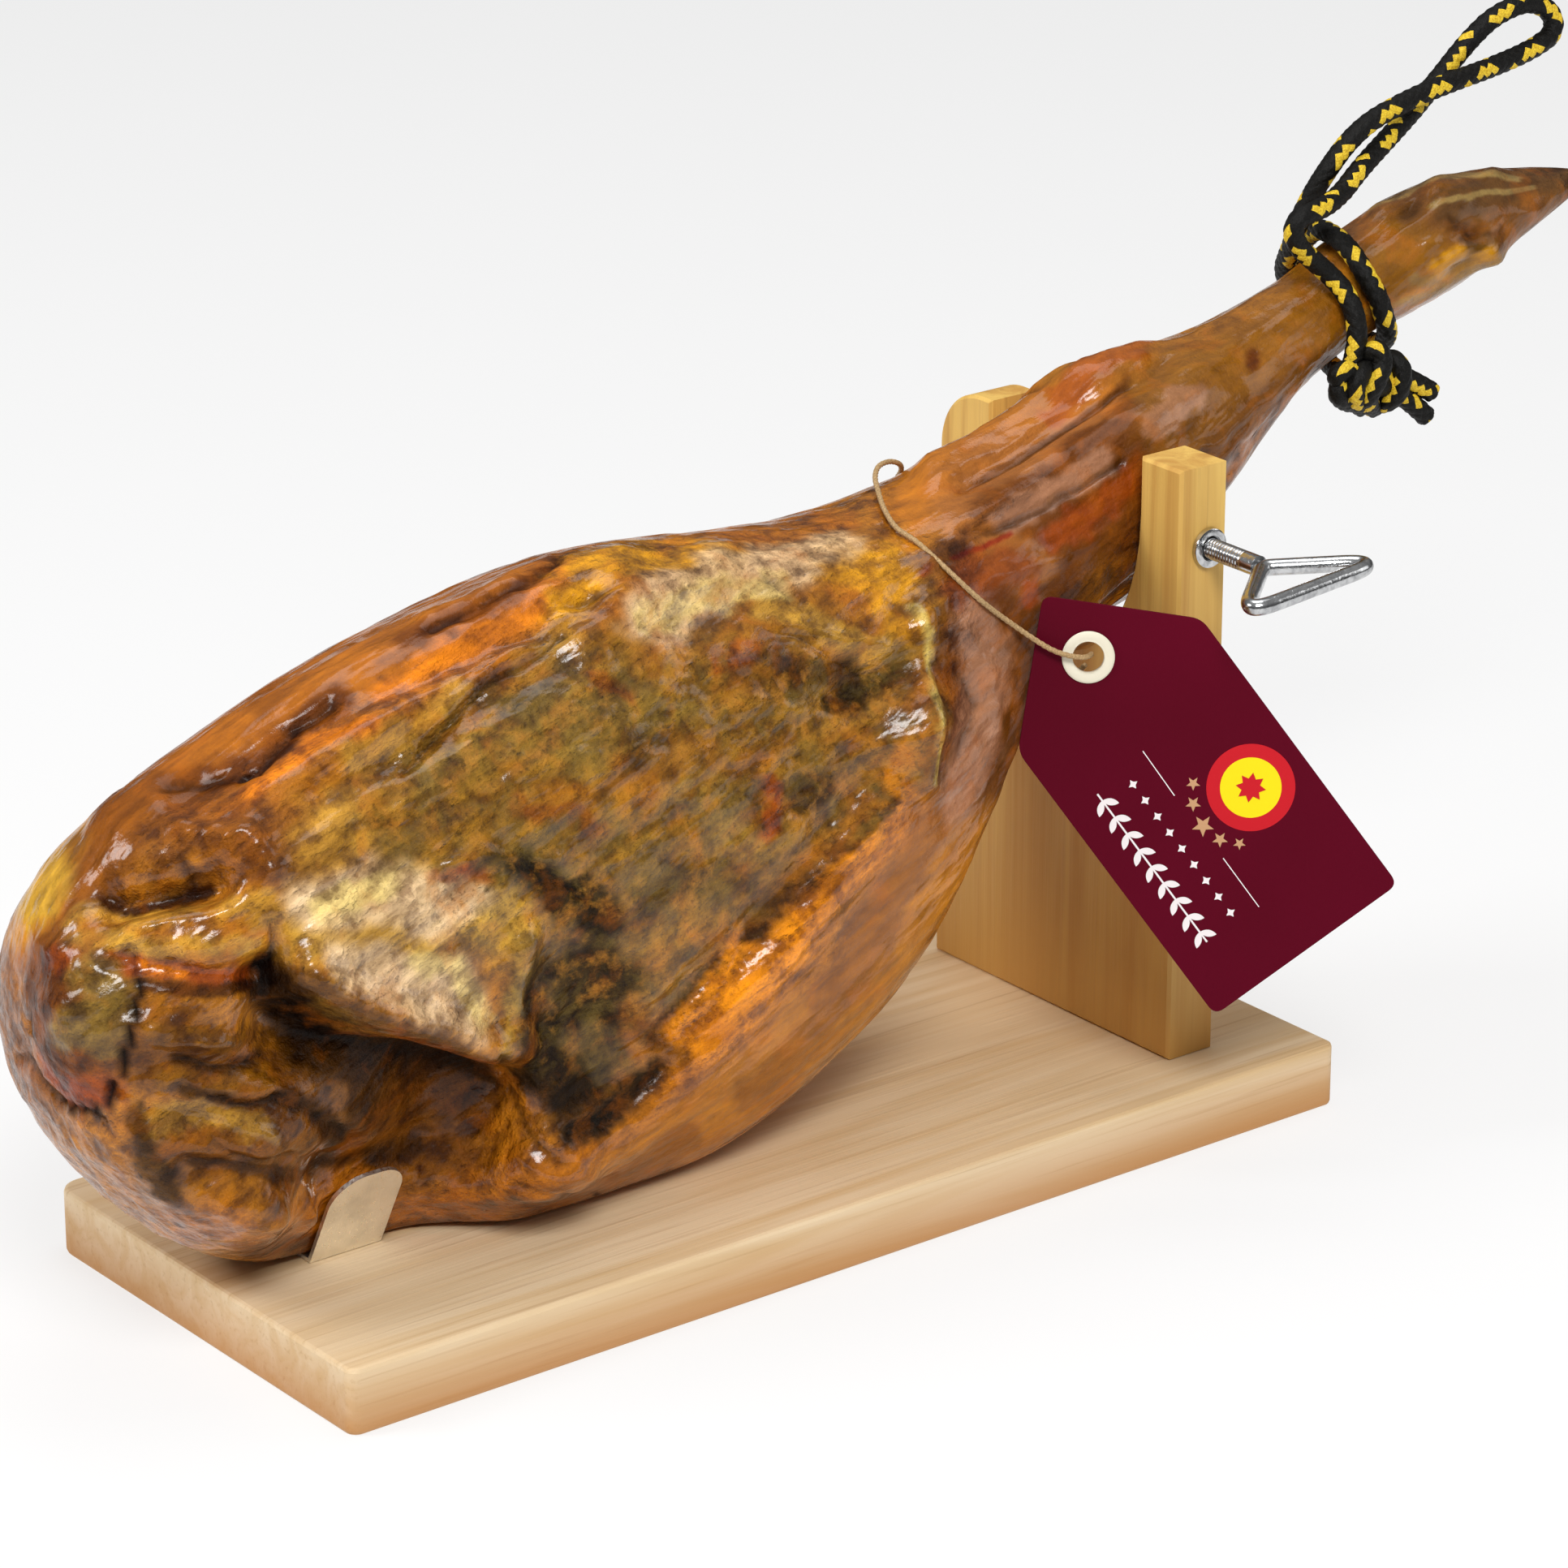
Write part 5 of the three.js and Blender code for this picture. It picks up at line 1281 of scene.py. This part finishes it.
def make_insert(zinc):
    s = SCREW_MM
    face, outside = s["face"], s["face"] - s["flange_thick"]
    profile = [
        (s["bore"], outside + 0.5), (s["bore"] + 0.5, outside), (s["flange"] - 0.8, outside),
        (s["flange"] - 0.2, outside + 0.3), (s["flange"], outside + 0.9), (s["flange"], face),
        (s["body"], face), (s["body"], s["inner_end"]), (s["bore"], s["inner_end"]),
    ]
    points, faces = turned(profile, 64, s["x"], s["z"])
    insert = mesh_object("screw_insert", points * MM, faces, zinc,
                         smooth_angle=math.radians(35))
    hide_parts("clamp_insert")


def make_shank(zinc):
    s = SCREW_MM

    def thread(u, v):
        in_thread = smooth(s["plain"], s["plain"] + 2, v)
        wave = np.abs(2 * ((v / s["pitch"] - u) % 1) - 1)
        return -s["thread"] * wave * in_thread

    lengths = np.arange(0, s["tip"] - s["end"] - 1.5, 0.19)
    path = np.stack([s["x"] + 0 * lengths, s["end"] + lengths, s["z"] + 0 * lengths], 1)
    verts, faces, _, _ = tube_mesh(path, lengths, s["radius"], 36, thread)
    shank = mesh_object("screw_shank", verts * MM, faces, zinc, body="screw",
                        smooth_angle=math.radians(60))
    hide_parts("clamp_shank")


def make_handle(zinc):
    s = SCREW_MM
    turned_up = np.array(Matrix.Rotation(math.radians(s["turn"]), 3, "Y"))
    path = loop_path() @ turned_up + np.array([s["x"], s["loop"], s["z"]])
    sides, ups = carried_frames(path, closed=True)
    steps = 28
    angle = 2 * np.pi * np.arange(steps) / steps
    ring = np.cos(angle)[:, None] * sides[:, None] + np.sin(angle)[:, None] * ups[:, None]
    verts = (path[:, None] + s["wire"] * ring).reshape(-1, 3)
    at = np.arange(len(verts)).reshape(-1, steps)
    shifted, after = np.roll(at, -1, axis=0), np.roll(at, -1, axis=1)
    both = np.roll(shifted, -1, axis=1)
    faces = np.stack([at, shifted, both, after], -1).reshape(-1, 4).tolist()
    handle = mesh_object("screw_handle", verts * MM, faces, zinc, body="handle")
    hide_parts("clamp_handle")


def make_screw():
    zinc = zinc_look()
    make_insert(zinc)
    make_shank(zinc)
    make_handle(zinc)


# Tag
def tag_matrix():
    t = TAG_MM
    return (Matrix.Translation(Vector(t["apex"]) * MM)
            @ Matrix.Rotation(math.radians(t["facing"]), 4, "Z")
            @ Matrix.Rotation(math.radians(90 - t["lean"]), 4, "X")
            @ Matrix.Rotation(math.radians(t["turn"]), 4, "Z"))


def on_tag(u, v):
    """The tag's own x, y in mm under a px place."""
    matrix = np.array(tag_matrix())
    origin, normal = matrix[:3, 3] / MM, matrix[:3, 2]
    ray = view_ray(u, v)
    reach = ((origin - VIEW_POINT_MM) @ normal) / (ray @ normal)
    place = VIEW_POINT_MM + ray * reach - origin
    return place @ matrix[:3, 0], place @ matrix[:3, 1]


def flat_piece(name, outlines, low, high, material, bevel=0.0):
    """A flat piece in the tag's plane between two heights in mm, with holes."""
    curve = bpy.data.curves.new(name, "CURVE")
    curve.dimensions = "2D"
    curve.fill_mode = "BOTH"
    curve.extrude = (high - low) / 2 * MM - bevel * MM
    curve.bevel_depth = bevel * MM
    curve.bevel_resolution = 1
    for outline in outlines:
        spline = curve.splines.new("POLY")
        spline.points.add(len(outline) - 1)
        for point, (x, y) in zip(spline.points, outline):
            point.co = (x * MM, y * MM, 0, 1)
        spline.use_cyclic_u = True
    scratch = link_object(name + "_outline", curve)
    graph = bpy.context.evaluated_depsgraph_get()
    mesh = bpy.data.meshes.new_from_object(scratch.evaluated_get(graph))
    bpy.data.objects.remove(scratch)
    mesh.name = name
    mesh.transform(tag_matrix() @ Matrix.Translation((0, 0, (low + high) / 2 * MM)))
    obj = link_object(name, mesh)
    dress(obj, material)
    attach(obj, "stand")
    return obj


def ring_outline(x, y, radius, steps=64):
    angles = [2 * math.pi * k / steps for k in range(steps)]
    return [(x + radius * math.cos(angle), y + radius * math.sin(angle)) for angle in angles]


def star_outline(x, y, radius, points=5, inner=0.42, turn=0.0):
    made = []
    for k in range(2 * points):
        reach = radius * (1 if k % 2 == 0 else inner)
        angle = math.pi / 2 + turn + math.pi * k / points
        made.append((x + reach * math.cos(angle), y + reach * math.sin(angle)))
    return made


def bar_outline(start, end, width):
    start, end = np.array(start), np.array(end)
    side = unit(np.array([end[1] - start[1], start[0] - end[0]])) * width / 2
    return [tuple(start + side), tuple(end + side), tuple(end - side), tuple(start - side)]


def leaf_outline(x, y, length, width, turn):
    made = []
    for side in (1, -1):
        for t in np.linspace(0, 1, 9)[:-1]:
            t = t if side > 0 else 1 - t
            along, across = length * t, side * width / 2 * math.sin(math.pi * t) ** 0.8
            made.append((x + along * math.cos(turn) - across * math.sin(turn),
                         y + along * math.sin(turn) + across * math.cos(turn)))
    return made


def tag_outline():
    t = TAG_MM
    half, length = t["width"] / 2, t["length"]
    corners = [(0, 0), (-half, -half), (-half, -length), (half, -length), (half, -half)]
    corners = [np.array(c, float) for c in corners]
    made = []
    for k, corner in enumerate(corners):
        start = corner + t["corner"] * unit(corners[k - 1] - corner)
        end = corner + t["corner"] * unit(corners[(k + 1) % len(corners)] - corner)
        for s in np.linspace(0, 1, 7):
            made.append(tuple((1 - s) ** 2 * start + 2 * s * (1 - s) * corner + s * s * end))
    return made


def flat_look(name, colour, rough, other=None):
    look = Look(name)
    fibre = look.noise(look.place(), 700.0, 4.0, 0.6)
    shade = look.noise(look.place(), 14.0, 2.0)
    tone = look.mix(look.span(shade, 0.35, 0.7), colour, other or colour)
    return look.finish(Base_Color=tone, Roughness=rough, Normal=look.bump(fibre, 0.00008),
                       Specular_IOR_Level=0.08)


# The card's marks, of a generic design: px places, and px sizes of the stars
STAR_PLACES_PX = [(1470, 965, 9), (1470, 990, 10), (1482, 1017, 14), (1503, 1034, 10),
                  (1527, 1039, 8)]
RULES_PX = [((1408, 925), (1447, 980)), ((1507, 1057), (1551, 1117))]
SPRIG_PX = ((1352, 978), (1487, 1160))
BEADS_PX = ((1396, 966), (1516, 1124))
ROUNDEL_PX = (1541, 970)
ROUNDEL_MM = {"ring": 16.2, "field": 11.2, "flower": 5.6}
LEAF_PAIRS = 9
BEADS = 9


def make_tag():
    t = TAG_MM
    half = t["thick"] / 2
    card = flat_piece("tag_card", [tag_outline(), ring_outline(0, -EYELET_MM["down"], t["hole"])],
                      -half, half, flat_look("burgundy_card", "#560018", 0.5, "#5c001c"),
                      bevel=0.12)
    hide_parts("tag")
    print_marks(half + 0.02, half + 0.1)


def print_marks(low, high):
    """The flat marks on the card, between two heights in mm above its middle."""
    tan = flat_look("tan_ink", "#c79a72", 0.6)
    white = flat_look("white_ink", "#f3ecec", 0.6)
    red = flat_look("red_ink", "#c8202a", 0.55)
    yellow = flat_look("yellow_ink", "#f2de1c", 0.55)
    x, y = on_tag(*ROUNDEL_PX)
    ring, field = (ring_outline(x, y, ROUNDEL_MM[name]) for name in ("ring", "field"))
    flower = star_outline(x, y, ROUNDEL_MM["flower"], 8, 0.62)
    flat_piece("roundel_ring", [ring, field], low, high, red)
    flat_piece("roundel_field", [field], low, high - 0.02, yellow)
    flat_piece("roundel_flower", [flower], high - 0.01, high + 0.05, red)
    for number, (u, v, size) in enumerate(STAR_PLACES_PX):
        star = star_outline(*on_tag(u, v), size / PX_PER_MM)
        flat_piece(f"star_{number}", [star], low, high, tan)
    for number, (start, end) in enumerate(RULES_PX):
        rule = bar_outline(on_tag(*start), on_tag(*end), 0.35)
        flat_piece(f"rule_{number}", [rule], low, high, white)

    start, end = (np.array(on_tag(*place)) for place in SPRIG_PX)
    along = unit(end - start)
    heading = math.atan2(along[1], along[0])
    flat_piece("sprig_stem", [bar_outline(start, end, 0.7)], low, high, white)
    for number in range(2 * LEAF_PAIRS):
        x, y = start + (end - start) * (number // 2 + 0.4) / LEAF_PAIRS
        turn = heading + (0.8 if number % 2 == 0 else -0.8)
        flat_piece(f"sprig_leaf_{number}", [leaf_outline(x, y, 6.2, 2.6, turn)], low + 0.02,
                   high + 0.03, white)
    start, end = (np.array(on_tag(*place)) for place in BEADS_PX)
    for k in range(BEADS):
        x, y = start + (end - start) * k / (BEADS - 1)
        flat_piece(f"bead_{k}", [star_outline(x, y, 1.9, 4, 0.5, heading)], low, high, white)


def make_eyelet():
    e = EYELET_MM
    half = TAG_MM["thick"] / 2 + GAP_MM
    outside = half + e["flange"]
    rounded = [(e["inner"], -outside + 0.5), (e["inner"] + 0.25, -outside + 0.12)]
    for t in np.linspace(0, 1, 9):
        radius = e["inner"] + 0.6 + (e["outer"] - e["inner"] - 1.0) * t
        rounded.append((radius, -outside + 0.22 * (2 * t - 1) ** 2))
    rounded += [(e["outer"], -half - 0.35), (e["outer"] - 0.2, -half)]
    mirrored = [(radius, -y) for radius, y in reversed(rounded)]
    barrel = e["inner"] + e["wall"]
    profile = [*rounded, (barrel, -half), (barrel, half), *mirrored]
    points, faces = turned(profile, 72, 0, 0)
    turned_up = Matrix.Rotation(math.pi / 2, 4, "X")
    matrix = tag_matrix() @ Matrix.Translation((0, -e["down"] * MM, 0)) @ turned_up
    points = [matrix @ Vector(p * MM) for p in points]
    look = flat_look("eyelet_cream", "#ece5d0", 0.35, "#ddd4ba")
    eyelet = mesh_object("eyelet_ring", points, faces, look,
                         smooth_angle=math.radians(40))
    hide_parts("tag_eyelet")


make_camera()
make_ropes()
make_lights()
make_world()
make_floor()
make_ham()
dress_stand()
make_screw()
make_tag()
make_eyelet()
